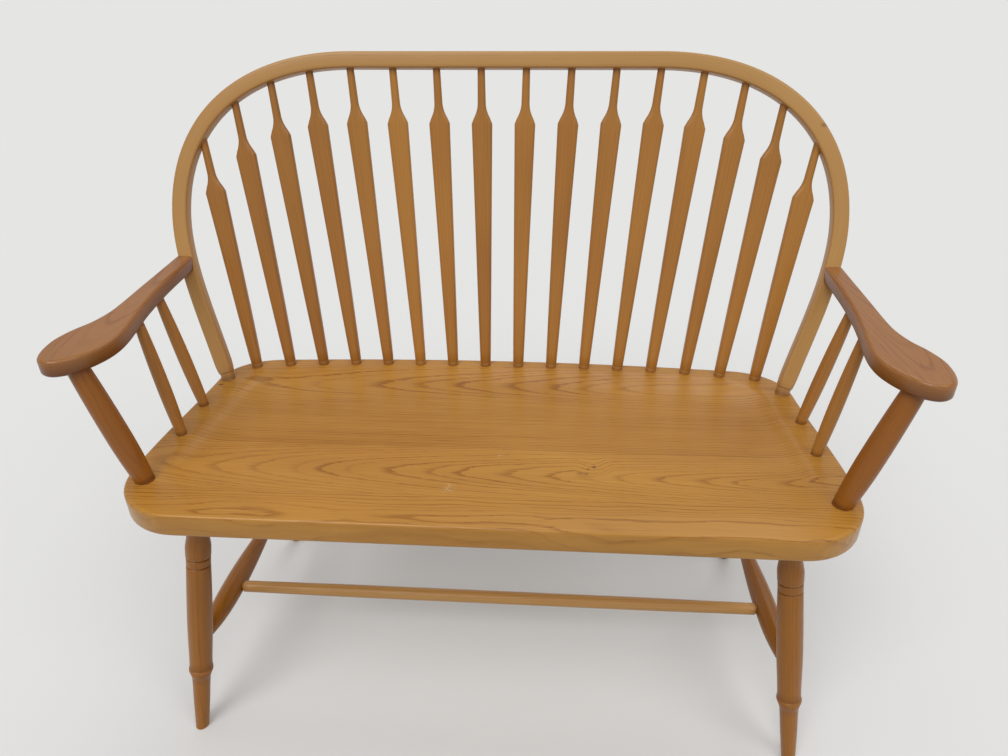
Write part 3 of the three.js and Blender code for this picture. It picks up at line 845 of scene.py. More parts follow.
    def _rings(self, graph: Graph, grain: Socket, lay: Lay) -> tuple[Socket, Socket]:
        """The growth rings.

        Args:
            graph: The material's graph.
            grain: The place in the timber.
            lay: How the place lay in its log.

        Returns:
            The soft early wood, and how hard the wood is.
        """
        board = graph.math("MULTIPLY", lay.heart, self.BOARD_CHANGE)
        pace = graph.math("MULTIPLY_ADD", lay.along, self.wander_pace, board)
        drift, sway = (graph.noise(graph.vector(*row, pace), WANDERING) for row in self.HEART_ROWS)
        rise = graph.swing(drift, graph.math("MULTIPLY", lay.wander, 2.0), lay.rise)
        side = graph.swing(sway, lay.wander, lay.side)
        squares = [graph.math("POWER", part, 2.0) for part in (side, rise)]
        radius = graph.math("SQRT", graph.math("ADD", *squares))
        waviness = graph.math("MULTIPLY", lay.waviness, 2.0)
        radius = graph.swing(graph.noise(grain, WAVES), waviness, radius)
        for blemish in self.blemishes:
            if blemish.bends_grain:
                spot = blemish.spot(graph, self.KNOT_REACH)
                radius = graph.math("MULTIPLY_ADD", spot, blemish.bends_grain, radius)
        count = graph.math("DIVIDE", radius, self.ring_width)
        count = graph.swing(graph.noise(grain, FRAYS), self.ragged, count)
        uneven = graph.noise(graph.vector(count, 0.0, 0.0), UNEVEN_YEARS)
        count = graph.math("MULTIPLY_ADD", uneven, self.YEAR_CHANGE, count)
        share = graph.math("FRACT", count)
        year = graph.chance(graph.math("FLOOR", count))
        year = graph.math("MULTIPLY_ADD", year, self.YEAR_STRENGTH, self.FAINTEST_YEAR)
        start = graph.step(share, *self.YEAR_START)
        early = graph.math("MULTIPLY", graph.step(share, *self.YEAR_FADE, 1.0, 0.0), start)
        return graph.math("MULTIPLY", early, year), share


@dataclass(frozen=True)
class ZincFinish:
    """Dull zinc plating of the hidden screws."""

    name: str = "zinc_plate"
    dark: Colour = paint(176, 174, 164)
    light: Colour = paint(206, 204, 196)
    roughness: tuple[float, float] = (0.28, 0.5)

    def material(self) -> bpy.types.Material:
        """The screws' material, made the first time that it is asked for."""
        return bpy.data.materials.get(self.name) or self._mix_up()

    def _mix_up(self) -> bpy.types.Material:
        """Builds the material's nodes.

        Returns:
            The new material.
        """
        material = bpy.data.materials.new(self.name)
        graph = Graph(material)
        cloud = graph.noise(graph.place(), PLATING)
        rough = graph.step(cloud, 0.0, 1.0, *self.roughness)
        shader = graph.shader(graph.mix(cloud, self.dark, self.light), rough)
        shader.inputs["Metallic"].default_value = 1.0
        return material


def dress(piece: Piece, finish: OakFinish, node: str, tone: float = 0.0) -> None:
    """Gives a finished piece its material and lets it stand for its node.

    Args:
        piece: The finished piece.
        finish: The finish that it takes.
        node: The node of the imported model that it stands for.
        tone: How much darker this piece is than the rest, as a share.
    """
    piece.data.materials.clear()
    piece.data.materials.append(finish.material())
    layer = piece.data.attributes.new(TONE, "FLOAT", "POINT")
    layer.data.foreach_set("value", [tone] * len(piece.data.vertices))
    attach(piece, BODY)
    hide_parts(node)
    log.info("%s: %d faces, for %s", piece.name, len(piece.data.polygons), node)


BOW_FOOT_KNOT = Blemish(Vector((-0.447, 0.0555, 0.465)), 0.0042, paint(70, 42, 20), 0.9, 1.8)
SEAT_KNOT = Blemish(Vector((0.1445, -0.12, 0.457)), 0.005, paint(84, 50, 18), 0.9, 1.0, 0.007)
SEAT_OAK = OakFinish(
    "honey_oak_seat",
    "seat_oak",
    paint(198, 143, 59),
    paint(151, 95, 22),
    (
        Board(-0.195, 0.034, taper=0.01, waviness=0.009, tone=0.02),
        Board(-0.093, 0.0506, edge=-0.15, taper=0.07, wander=0.004, waviness=0.0024, tone=-0.03),
        Board(-0.33, 0.0976, edge=-0.034, wander=0.012, waviness=0.002, tone=0.12),
        Board(0.137, 0.0496, edge=0.068, taper=0.045, wander=0.03, waviness=0.002, tone=0.06),
    ),
    ring_width=0.0037,
    ring_strength=0.76,
    edge_rings=0.34,
    pores=0.3,
    blush=0.16,
    roughness=0.33,
    coat=0.14,
    blemishes=(
        SEAT_KNOT,
        Blemish(Vector((0.136, -0.1255, 0.457)), 0.0036, paint(96, 58, 20), 0.75),
        Blemish(Vector((0.1335, -0.1375, 0.457)), 0.0046, paint(104, 62, 20), 0.7),
        Blemish(Vector((0.126, -0.136, 0.457)), 0.006, paint(118, 70, 24), 0.6, 1.5),
        Blemish(
            Vector((0.015, -0.1, 0.457)), 0.009, paint(214, 172, 130), 0.65, 0.9, broken=True
        ),
        Blemish(
            Vector((-0.047, -0.183, 0.457)), 0.018, paint(216, 186, 144), 0.75, 0.65, broken=True
        ),
        BOW_FOOT_KNOT,
    ),
)
BOW_OAK = OakFinish(
    "honey_oak_bow",
    "bow_oak",
    paint(196, 150, 86),
    paint(164, 114, 56),
    (Board(-0.15, 0.08, wander=0.01),),
    ring_width=0.0036,
    ring_strength=0.2,
    fibre=0.36,
    pores=0.08,
    blush=0.15,
    blemishes=(
        BOW_FOOT_KNOT,
        Blemish(Vector((0.47, 0.207, 0.843)), 0.005, paint(110, 72, 38), 0.7, 1.8),
    ),
)
SPINDLE_OAK = OakFinish(
    "honey_oak_spindles",
    "spindle_oak",
    paint(185, 128, 54),
    paint(139, 86, 31),
    (Board(-0.11, 0.05, wander=0.016, waviness=0.0012),),
    ring_width=0.0046,
    wander_pace=0.9,
    ring_strength=0.24,
    fibre=0.5,
    pores=0.1,
    blemishes=(
        Blemish(Vector((-0.292, 0.1128, 0.649)), 0.0075, paint(120, 68, 28), 0.45, 1.8),
        Blemish(Vector((-0.083, 0.1285, 0.6235)), 0.0075, paint(124, 74, 32), 0.4, 1.8),
    ),
)
POST_OAK = OakFinish(
    "amber_oak_posts",
    "spindle_oak",
    paint(160, 97, 20),
    paint(124, 69, 10),
    (Board(-0.1, 0.06, wander=0.016),),
    ring_strength=0.3,
    fibre=0.5,
    pores=0.12,
)
ARM_OAK = OakFinish(
    "reddish_oak_arms",
    "arm_oak",
    paint(168, 113, 57),
    paint(125, 71, 28),
    (Board(0.008, 0.045, taper=0.06, wander=0.008),),
    ring_width=0.0036,
    ring_strength=0.46,
    fibre=0.6,
    pores=0.14,
    roughness=0.32,
    coat=0.16,
)
LEG_OAK = OakFinish(
    "honey_oak_legs",
    "leg_oak",
    paint(168, 107, 25),
    paint(126, 72, 12),
    (Board(-0.09, 0.07),),
    ring_width=0.0042,
    ring_strength=0.32,
    fibre=0.55,
    pores=0.14,
)
STRETCHER_OAK = OakFinish(
    "pale_oak_stretcher",
    "leg_oak",
    paint(216, 166, 98),
    paint(176, 122, 62),
    (Board(-0.09, 0.07, wander=0.03),),
    ring_width=0.0042,
    ring_strength=0.45,
    pores=0.2,
)


@dataclass
class Seat:
    """The saddled plank, whose box gives the sizes that the other pieces start from."""

    narrowing: float = 0.043
    ease: float = 0.0045
    under_inset: float = 0.0063
    front_corner: float = 0.088
    back_corner_width: float = 0.078
    back_corner_depth: float = 0.084
    back_bulge: float = 0.015
    dish_depth: float = 0.009
    dish_rim: float = 0.017
    dish_side_rim: float = 0.035
    dish_front_land: float = 0.014
    dish_front_run: float = 0.15
    dish_spine_inset: float = 0.1795
    slope_share: float = 0.42
    rim_softness: float = 0.5
    grain_dip: float = 0.15
    low: Vector = field(default_factory=lambda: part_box("seat")[0])
    high: Vector = field(default_factory=lambda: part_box("seat")[1])

    OUTLINE_POINTS = 336
    CURVE_STEPS = 24
    EASE_STEPS = 5
    # Rings from the plank's edge to the saddle's rim, and from the rim to the saddle's middle.
    LAND_SHARES = (0.1, 0.55, 0.9, 0.965)
    DISH_SHARES = (
        *(0.0, 0.012, 0.03, 0.06, 0.1, 0.15, 0.2, 0.25, 0.3),
        *(0.35, 0.4, 0.45, 0.5, 0.6, 0.7, 0.8, 0.9, 0.96),
    )

    @property
    def middle(self) -> float:
        """Where the middle of the seat's depth is."""
        return (self.low.y + self.high.y) / 2

    @property
    def front_half(self) -> float:
        """Half of the seat's width at its front."""
        return self.high.x

    @property
    def back_half(self) -> float:
        """Half of the seat's width at its back."""
        return self.high.x - self.narrowing / 2

    def outline(self, margin: float, end_margin: float | None = None) -> list[Vector]:
        """The seat's outline from above, drawn in from its edge.

        Args:
            margin: How far it is drawn in from the front and the back.
            end_margin: How far it is drawn in from the two ends.

        Returns:
            Points at equal distances all round.
        """
        ends = margin if end_margin is None else end_margin
        front, back = self.low.y + margin, self.high.y - margin
        front_half, back_half = self.front_half - ends, self.back_half - ends
        corner = self.front_corner - margin
        side_end = back - self.back_corner_depth
        start = back_half - self.back_corner_width
        side_reach = (side_end - front - corner) / 3
        reach = self.back_corner_depth / 2
        bulge = self.back_bulge
        half = [Vector((0, front, 0))]
        for step in range(self.CURVE_STEPS + 1):
            angle = math.pi / 2 * (step / self.CURVE_STEPS - 1)
            middle = Vector((front_half - corner, front + corner, 0))
            half.append(middle + Vector((math.cos(angle), math.sin(angle), 0)) * corner)
        side, back_corner, back_edge = (
            (
                (front_half, front + corner),
                (front_half, front + corner + side_reach),
                (back_half + (front_half - back_half) / 4, side_end - side_reach),
                (back_half, side_end),
            ),
            (
                (back_half, side_end),
                (back_half - bulge / 3, side_end + reach),
                (start + reach, back - bulge * 4 / 3),
                (start, back - bulge),
            ),
            (
                (start, back - bulge),
                (start * 2 / 3, back - bulge / 3),
                (start / 3, back),
                (0, back),
            ),
        )
        for handles in (side, back_corner, back_edge):
            half += bezier(*(Vector((x, y, 0)) for x, y in handles), self.CURVE_STEPS)[1:]
        mirrored = [Vector((-point.x, point.y, 0)) for point in reversed(half[1:-1])]
        return evenly(half + mirrored, self.OUTLINE_POINTS)

    def dish_height(self, share: float, y: float) -> float:
        """The height of the saddle.

        Args:
            share: The share of the way in from its rim.
            y: The place from front to back.

        Returns:
            The height over the floor.
        """
        way_in = min(share / self.slope_share, 1.0)
        bowl = (1 - (1 - way_in) ** 2) * smoothstep(way_in, 0.0, self.rim_softness)
        fade = smoothstep((y - self.low.y - self.dish_front_land) / self.dish_front_run)
        return self.high.z - self.dish_depth * bowl * fade

    def _draw(self, loft: Loft, ring: Sequence[Vector]) -> None:
        """Sets a ring in the plank, whose timber runs across the bench."""
        dip = [(self.high.z - point.z) * self.grain_dip for point in ring]
        loft.draw(ring, [Vector((p.y - self.middle, down, p.x)) for p, down in zip(ring, dip)])

    def _draw_level(self, loft: Loft, points: Sequence[Vector], height: float) -> None:
        """Sets a level ring in the plank."""
        self._draw(loft, [Vector((point.x, point.y, height)) for point in points])

    def build(self) -> Piece:
        """Builds the plank from its underside up, over its edge and down into the saddle.

        Returns:
            The finished plank.
        """
        loft = Loft("saddled_seat", self.OUTLINE_POINTS)
        self._draw_level(loft, self.outline(self.under_inset), self.low.z)
        quarter = [math.pi / 2 * step / self.EASE_STEPS for step in range(self.EASE_STEPS + 1)]
        for face, way, turns in ((self.low.z, 1, quarter), (self.high.z, -1, reversed(quarter))):
            for angle in turns:
                height = face + way * self.ease * (1 - math.cos(angle))
                self._draw_level(loft, self.outline(self.ease * (1 - math.sin(angle))), height)
        edge = self.outline(self.ease)
        rim = self.outline(self.dish_rim, self.dish_side_rim)
        for share in self.LAND_SHARES:
            between = [outer.lerp(inner, share) for outer, inner in zip(edge, rim)]
            self._draw_level(loft, between, self.high.z)
        spine = self.front_half - self.dish_spine_inset
        for share in self.DISH_SHARES:
            ring = []
            for point in rim:
                core = Vector((min(max(point.x, -spine), spine), self.middle, 0))
                flat = point.lerp(core, share)
                ring.append(Vector((flat.x, flat.y, self.dish_height(share, flat.y))))
            self._draw(loft, ring)
        return loft.close()


@dataclass
class Bow:
    """The bent rail of the back, in its leaning plane."""

    seat: Seat
    width: float = 0.0237
    depth: float = 0.0209
    power: float = 6.5
    lean: float = math.radians(20.7)
    foot_inset: float = 0.016
    foot_forward: float = 0.084
    flare: float = 0.064
    side_rise: float = 0.255
    rise: float = 0.4907
    corner_width: float = 0.276
    corner_reach_share: float = 0.6
    corner_drop_share: float = 0.64
    foot_reach: float = 0.08
    foot_toe: float = 0.022
    foot_radius: float = 0.0106
    foot_rise: float = 0.009
    leg_radius: float = 0.012
    round_rise: float = 0.0093
    square_rise: float = 0.0303
    tenon: float = 0.012
    foot_stain_and_shade: float = 0.25
    shoulder_stain_and_shade: float = 0.8
    shoulder_line: float = 0.0008
    joint_line: float = 0.0015

    SIDES = 32
    SIDE_STEPS = 28
    CORNER_STEPS = 44
    TOP_STEPS = 14
    CLOSEST = 0.001

    @property
    def foot_half(self) -> float:
        """Half of the distance between the bow's feet."""
        return self.seat.back_half - self.foot_inset

    @property
    def side_half(self) -> float:
        """Half of the bow's width at its widest."""
        return self.foot_half + self.flare

    def at(self, across: float, rise: float, behind: float = 0.0) -> Vector:
        """A point by its place in the leaning plane.

        Args:
            across: How far it is across the bench.
            rise: How far it is up the slope from the seat.
            behind: How far it lies behind the plane.

        Returns:
            The point in the bench's frame.
        """
        up, back = math.cos(self.lean), math.sin(self.lean)
        y = self.seat.high.y - self.foot_forward + rise * back + behind * up
        return Vector((across, y, self.seat.high.z + rise * up - behind * back))

    def half_line(self) -> list[Vector]:
        """The right half of the centre line.

        Returns:
            Points from its foot to its middle, across and up the slope.
        """
        foot = Vector((self.foot_half, 0, 0))
        side = Vector((self.side_half, self.side_rise, 0))
        corner = Vector((self.side_half - self.corner_width, self.rise, 0))
        up = Vector((0, self.foot_reach, 0))
        toe = Vector((self.foot_toe, 0, 0))
        line = bezier(foot, foot + up + toe, side - up, side, self.SIDE_STEPS)
        drop = Vector((side.x, lerp(side.y, corner.y, self.corner_drop_share), 0))
        reach = Vector((lerp(corner.x, side.x, self.corner_reach_share), corner.y, 0))
        line += bezier(side, drop, reach, corner, self.CORNER_STEPS)[1:]
        for step in range(1, self.TOP_STEPS + 1):
            line.append(Vector((corner.x * (1 - step / self.TOP_STEPS), self.rise, 0)))
        return line

    def whole_line(self) -> list[Vector]:
        """The whole centre line, with close points at the shoulder of each foot.

        Returns:
            Points from one tenon's end to the other's, across and up the slope.
        """
        right = self.half_line()
        way = (right[1] - right[0]).normalized()
        offsets = (-LINE_EDGE, -LINE_GROOVE, 0.0, LINE_GROOVE, LINE_EDGE)
        near = [right[0] + way * (self.foot_rise + offset) for offset in offsets]
        upper = [point for point in right[1:] if point.y > near[-1].y + self.CLOSEST]
        right = [right[0] - way * self.tenon, right[0], *near, *upper]
        return right + [Vector((-point.x, point.y, 0)) for point in reversed(right[:-1])]

    def rise_at(self, across: float) -> float:
        """How far up the slope the upper part of the centre line is.

        Args:
            across: The place across the bench.

        Returns:
            The rise there.
        """
        line = [point for point in self.half_line() if point.y >= self.side_rise]
        for below, above in zip(line, line[1:]):
            if above.x <= abs(across) < below.x:
                return lerp(below.y, above.y, (below.x - abs(across)) / (below.x - above.x))
        return self.rise

    def across_at(self, rise: float) -> float:
        """How far out the lower part of the centre line is.

        Args:
            rise: The place up the slope.

        Returns:
            The distance from the middle there.
        """
        line = self.half_line()
        for below, above in zip(line, line[1:]):
            if below.y <= rise < above.y:
                return lerp(below.x, above.x, (rise - below.y) / (above.y - below.y))
        return self.side_half

    def section_at(self, rise: float) -> Section:
        """The section: a soft square that turns round near its foot.

        Args:
            rise: The place up the slope.

        Returns:
            The section there.
        """
        leg = Section.round(self.foot_radius if rise < self.foot_rise else self.leg_radius)
        square = Section(self.width / 2, self.depth / 2, self.power)
        return leg.towards(square, smoothstep(rise, self.round_rise, self.square_rise))

    def stain_at(self, rise: float) -> float:
        """How much darker the bow is painted: on the foot, at its shoulder and where it enters the
        seat, a dark line together with painted contact shade.

        Args:
            rise: The place up the slope.

        Returns:
            How much darker it is, from 0 to 1.
        """
        # The shoulder ring, the foot and the seat's edge are painted darker: dark lines with
        # painted contact shade.
        shoulder = self.shoulder_stain_and_shade * fading(rise - self.foot_rise, self.shoulder_line)
        foot = self.foot_stain_and_shade if rise < self.foot_rise else 0.0
        return max(fading(rise, self.joint_line), shoulder, foot)

    def build(self) -> Piece:
        """Draws the section from one foot over the top to the other.

        Returns:
            The finished bow.
        """
        line = self.whole_line()
        loft, gone = Loft("bent_bow", self.SIDES), 0.0
        for index, point in enumerate(line):
            before, after = line[max(index - 1, 0)], line[min(index + 1, len(line) - 1)]
            along = (after - before).normalized()
            gone += (point - before).length
            ring, grain = [], []
            for a, b in self.section_at(point.y).corners(self.SIDES):
                ring.append(self.at(point.x + a * along.y, point.y - a * along.x, b))
                grain.append(Vector((a, b, gone)))
            loft.draw(ring, grain, self.stain_at(point.y))
        return loft.close()


@dataclass
class ArrowSpindles:
    """The sixteen flat spindles of the back, each with an arrow shoulder under its neck."""

    seat: Seat
    bow: Bow
    count: int = 16
    end_inset: float = 0.04925
    foot_inset: float = 0.0165
    foot_sag: float = 0.025
    top_inset: float = 0.038
    crowd_share: float = 0.09
    foot_radius: float = 0.0087
    ring_rise: float = 0.0055
    ring_depth: float = 0.0005
    shoulder_width: float = 0.0315
    shoulder_depth: float = 0.0125
    power: float = 3.6
    squaring: float = 3.0
    neck_radius: float = 0.0056
    neck_length: float = 0.078
    slope: float = 0.009
    flare: float = 0.022
    flare_start: float = 0.34
    flare_end: float = 0.94
    tenon: float = 0.008
    foot_stain_and_shade: float = 0.22
    ring_stain_and_shade: float = 0.9
    ring_line: float = 0.0006
    # Both ends are painted darker: a dark glue line with painted contact shade.
    joint_stain_and_shade: float = 0.6
    foot_line: float = 0.001
    top_line: float = 0.002
    timber_step: float = 1.3
    tones: tuple[float, ...] = (
        *(0.16, 0.2, 0.18, 0.1, 0.03, -0.2, -0.05, 0.12),
        *(-0.06, 0.08, -0.04, -0.06, -0.1, 0.0, -0.04, -0.12),
    )

    SIDES = 28
    SHAFT_STEPS = 16
    FLARE_STEPS = 8
    NECK_STEPS = 4
    # Along the arrow's slope, how far its section has gone towards the neck's.
    SLOPE_SHARES = ((0.06, 0.006), (0.2, 0.045), (0.45, 0.135), (0.72, 0.235), (1.0, 0.34))

    def stick(self, index: int) -> Stick:
        """The axis of one spindle, from the seat's top to the bow's centre line.

        Args:
            index: Which spindle it is, from the left and from 0.

        Returns:
            The axis.
        """
        share = (2 * index - (self.count - 1)) / (self.count - 1)
        foot_x = share * (self.seat.back_half - self.end_inset)
        sag = self.foot_sag * (share**2 + 2 * share**4) / 3
        foot = Vector((foot_x, self.seat.high.y - self.foot_inset - sag, self.seat.high.z))
        crowd = 1 + self.crowd_share * (1 - share**2)
        top_x = share * crowd * (self.bow.side_half - self.top_inset)
        return Stick(foot, self.bow.at(top_x, self.bow.rise_at(top_x)))

    def visible(self, stick: Stick) -> float:
        """The length of a spindle from the seat to the bow's inner face.

        Args:
            stick: The spindle's axis.

        Returns:
            The length that shows.
        """
        reach = abs(stick.top.x)
        near = Vector((reach, self.bow.rise_at(reach)))
        inner = reach - self.bow.width
        tangent = (Vector((inner, self.bow.rise_at(inner))) - near).normalized()
        along = (stick.top - stick.foot).normalized()
        up_slope = along.y * math.sin(self.bow.lean) + along.z * math.cos(self.bow.lean)
        slant = abs(tangent.x * up_slope - tangent.y * abs(along.x))
        return stick.length - self.bow.width / 2 / slant

    def stations(self, visible: float) -> Iterator[tuple[float, Section]]:
        """The sections along a spindle, in small steps.

        Args:
            visible: The length of the spindle that shows.

        Yields:
            The distance from the seat, and the section there.
        """
        shoulder = visible - self.neck_length
        ridge = shoulder + self.slope
        flare_top = ridge + self.flare
        foot, neck = Section.round(self.foot_radius), Section.round(self.neck_radius)
        wide = Section(self.shoulder_width / 2, self.shoulder_depth / 2, self.power)
        low = Section.round(self.foot_radius - self.ring_depth / 2)
        pinched = Section.round(self.foot_radius - self.ring_depth)
        yield -self.tenon, low
        yield 0.0, low
        yield self.ring_rise - LINE_EDGE, low
        yield self.ring_rise - LINE_GROOVE, pinched
        yield self.ring_rise + LINE_GROOVE, pinched
        yield self.ring_rise + LINE_EDGE, foot
        for step in range(1, self.SHAFT_STEPS + 1):
            share = step / self.SHAFT_STEPS
            section = foot.towards(wide, share)
            squared = lerp(foot.power, wide.power, min(share * self.squaring, 1.0))
            yield shoulder * share, Section(section.half_width, section.half_depth, squared)
        for share, narrowed in self.SLOPE_SHARES:
            yield shoulder + self.slope * share, wide.towards(neck, narrowed)
        for step in range(1, self.FLARE_STEPS + 1):
            share = step / self.FLARE_STEPS
            narrowed = lerp(self.flare_start, self.flare_end, 1 - (1 - share) ** 2)
            yield ridge + self.flare * share, wide.towards(neck, narrowed)
        for step in range(1, self.NECK_STEPS + 1):
            share = step / self.NECK_STEPS
            narrowed = lerp(self.flare_end, 1.0, share)
            yield lerp(flare_top, visible, share), wide.towards(neck, narrowed)
        yield visible + self.tenon, neck

    def stain_at(self, along: float, visible: float) -> float:
        """How much darker the spindle is painted: on the foot, in its ring and at both ends, as
        dark lines together with painted contact shade.

        Args:
            along: The distance from the seat.
            visible: The length of the spindle that shows.

        Returns:
            How much darker it is, from 0 to 1.
        """
        return max(
            self.ring_stain_and_shade * fading(along - self.ring_rise, self.ring_line),
            self.joint_stain_and_shade * fading(along, self.foot_line),
            self.joint_stain_and_shade * fading(along - visible, self.top_line),
            self.foot_stain_and_shade if along < self.ring_rise else 0.0,
        )

    def build(self) -> Iterator[tuple[Piece, int]]:
        """Builds the spindles from left to right.

        Yields:
            Each finished spindle and its number, from 1.
        """
        for index in range(self.count):
            stick = self.stick(index)
            visible = self.visible(stick)
            start = self.timber_step * index
            loft = Loft(f"arrow_spindle_{index + 1:02d}", self.SIDES)
            for along, section in self.stations(visible):
                corners = section.corners(self.SIDES)
                ring = [stick.at(a, b, along) for a, b in corners]
                grain = [Vector((a, b, along + start)) for a, b in corners]
                loft.draw(ring, grain, self.stain_at(along, visible))
            yield loft.close(), index + 1


@dataclass
class Arm:
    """One arm: its paddle, the post and two spindles under it, and the plug behind the bow."""

    seat: Seat
    bow: Bow
    side: Side
    rise: float = 0.187
    thickness: float = 0.023
    ease: float = 0.006
    lower_ease: float = 0.009
    # The arms' sides are painted darker: partly stained end grain and edges, partly painted shade.
    side_stain_and_shade: float = 0.95
    face_inset: float = 0.0008
    inset: float = 0.041
    paddle_width: float = 0.0768
    tip_back: float = 0.05
    gap: float = 0.0003
    post_foot_inset: float = 0.0285
    post_foot_back: float = 0.0705
    post_top_out: float = 0.038
    post_top_lean: float = 0.0115
    post_radii: Radii = (0.0124, 0.0154, 0.0132)
    post_belly_share: float = 0.4
    spindle_foot_inset: float = 0.0305
    spindle_foot_shares: tuple[float, float] = (0.422, 0.609)
    spindle_top_out: tuple[float, float] = (0.02, 0.029)
    spindle_top_lean: tuple[float, float] = (0.027, 0.028)
    spindle_radii: Radii = (0.0072, 0.0092, 0.0066)
    spindle_belly_share: float = 0.42
    spindle_tone: float = 0.04
    tenon: float = 0.008
    plug_radius: float = 0.0045
    plug_depth: float = 0.004
    plug_proud: float = 0.0003
    plug_tone: float = 0.25
    plug_stain: float = 0.1
    plug_edge_stain: float = 0.8
    paddle_timber: float = 0.25
    post_timber: float = 2.0
    spindle_timber: float = 11.0
    plug_timber: float = 0.4

    PLUG_SIDES = 28
    # The plug's slightly domed face: shares of its radius and of how far it stands proud.
    DOME = ((0.9, 1.0), (0.35, 1.3))
    CURVE_STEPS = 8
    EASE_SEGMENTS = 7
    LEVEL = 0.999
    # From the rear end's outer corner round the tip to its inner one: across from the inner side
    # in paddle widths, and back from the tip in lengths.
    OUTLINE_SHARES = (
        *((0.635, 1.02), (0.63, 0.84), (0.63, 0.66), (0.625, 0.48), (0.645, 0.39), (0.74, 0.31)),
        *((0.9, 0.24), (1.0, 0.17), (1.005, 0.11), (0.955, 0.055), (0.85, 0.016), (0.66, 0.0)),
        *((0.43, 0.017), (0.235, 0.058), (0.09, 0.113), (0.012, 0.17), (0.0, 0.24)),
        *((0.055, 0.33), (0.13, 0.42), (0.2, 0.53), (0.26, 0.68), (0.285, 0.84), (0.285, 1.02)),
    )

    @property
    def inside(self) -> float:
        """How far out the arm's inner side is."""
        return self.bow.side_half - self.inset

    @property
    def top(self) -> float:
        """The height of the arm's upper face."""
        return self.seat.high.z + self.rise

    @property
    def underside(self) -> float:
        """The height of the arm's lower face."""
        return self.top - self.thickness

    def outline(self) -> list[Vector]:
        """The arm's outline from above, a smooth curve through its shares.

        Returns:
            Points from the rear end's outer corner round the tip to its inner one.
        """
        tip = self.seat.low.y + self.tip_back
        bow_y = self.seat.high.y - self.bow.foot_forward + self.rise * math.tan(self.bow.lean)
        knots = []
        for across, back in self.OUTLINE_SHARES:
            x = self.side.value * (self.inside + across * self.paddle_width)
            knots.append(Vector((x, tip + back * (bow_y - tip), 0)))
        points = []
        for index in range(len(knots) - 1):
            before, after = knots[max(index - 1, 0)], knots[min(index + 2, len(knots) - 1)]
            start, end = knots[index], knots[index + 1]
            near, far = start + (end - before) / 6, end - (after - start) / 6
            points += bezier(start, near, far, end, self.CURVE_STEPS)[:-1]
        points.append(knots[-1])
        return points

    def build_paddle(self) -> Piece:
        """Extrudes the outline, rounds its edges and cuts its rear end to the bow.

        Returns:
            The finished paddle.
        """
        outline = self.outline()
        deselect()
        bpy.ops.mesh.primitive_circle_add(vertices=len(outline), radius=1.0, fill_type="NGON")
        piece = bpy.context.active_object
        piece.name = piece.data.name = "paddle_arm_" + self.side.word
        for vertex, point in zip(piece.data.vertices, outline):
            vertex.co = Vector((point.x, point.y, self.underside))
        bpy.ops.object.mode_set(mode="EDIT")
        bpy.ops.mesh.select_mode(type="FACE")
        bpy.ops.mesh.select_all(action="SELECT")
        bpy.ops.mesh.extrude_region_move(TRANSFORM_OT_translate={"value": (0, 0, self.thickness)})
        bpy.ops.mesh.select_all(action="SELECT")
        bpy.ops.mesh.normals_make_consistent(inside=False)
        for level, ease in ((self.top, self.ease), (self.underside, self.lower_ease)):
            select_parts(piece, "EDGE", lambda edge: self._lies_at(edge, level))
            bpy.ops.mesh.bevel(
                offset=ease, segments=self.EASE_SEGMENTS, affect="EDGES", clamp_overlap=True
            )
        select_parts(piece, "FACE", lambda face: abs(face.normal.z) > self.LEVEL)
        bpy.ops.mesh.inset(thickness=self.face_inset, use_individual=True)
        bpy.ops.mesh.select_all(action="SELECT")
        slope = self.rise / math.cos(self.bow.lean)
        bpy.ops.mesh.bisect(
            plane_co=self.bow.at(0, slope, -self.bow.depth / 2 - self.gap),
            plane_no=Vector((0, -math.cos(self.bow.lean), math.sin(self.bow.lean))),
            clear_inner=True,
            use_fill=True,
        )
        bpy.ops.mesh.select_all(action="SELECT")
        bpy.ops.mesh.normals_make_consistent(inside=False)
        bpy.ops.object.mode_set(mode="OBJECT")
        self._grain(piece)
        bpy.ops.object.shade_smooth_by_angle(angle=SMOOTH_ANGLE)
        return piece

    def _lies_at(self, edge: bmesh.types.BMEdge, level: float) -> bool:
        """Whether both ends of an edge are at a level."""
        return all(abs(end.co.z - level) < self.gap for end in edge.verts)

    def _grain(self, piece: Piece) -> None:
        """Lays the arm in its timber, which runs from front to back, and paints its sides darker,
        partly as stained edges and partly as painted shade.

        Args:
            piece: The paddle.
        """
        shift = self.paddle_timber * self.side.value
        middle = self.side.value * (self.inside + self.paddle_width / 2)
        places, shades = [], []
        for vertex in piece.data.vertices:
            x, y, z = vertex.co
            places += [x - middle, self.top - z, y + shift]
            # Painted shade with stained edges, growing below the top's rounded edge.
            shades.append(self.side_stain_and_shade * smoothstep(self.top - z, self.ease / 2, self.ease * 2))
        layer = piece.data.attributes.new(GRAIN, "FLOAT_VECTOR", "POINT")
        layer.data.foreach_set("vector", places)
        layer = piece.data.attributes.new(STAIN_AND_SHADE, "FLOAT", "POINT")
        layer.data.foreach_set("value", shades)

    def _under(self, name: str, stick: Stick, radii: Radii, share: float, start: float) -> Piece:
        """Turns a stick under the arm, with a short tenon at each end.

        Args:
            name: The piece's name.
            stick: The piece's axis.
            radii: Its radii at the foot, the belly and the top.
            share: Where its belly is, as a share of the way up.
            start: How far along its timber the piece began.

        Returns:
            The finished stick.
        """
        profile = [(-self.tenon, radii[0]), *swelling(radii, share, stick.length)]
        profile.append((stick.length + self.tenon, radii[2]))
        return turn(name, stick, profile, start, (0.0, stick.length))

    def build_post(self) -> Piece:
        """Turns the thick post under the paddle.

        Returns:
            The finished post.
        """
        foot_x = self.side.value * (self.seat.front_half - self.post_foot_inset)
        top_x = self.side.value * (self.inside + self.post_top_out)
        y = self.seat.low.y + self.post_foot_back
        top = Vector((top_x, y + self.post_top_lean, self.underside))
        stick = Stick(Vector((foot_x, y, self.seat.high.z)), top)
        name, start = "arm_post_" + self.side.word, self.post_timber + self.side.value
        return self._under(name, stick, self.post_radii, self.post_belly_share, start)

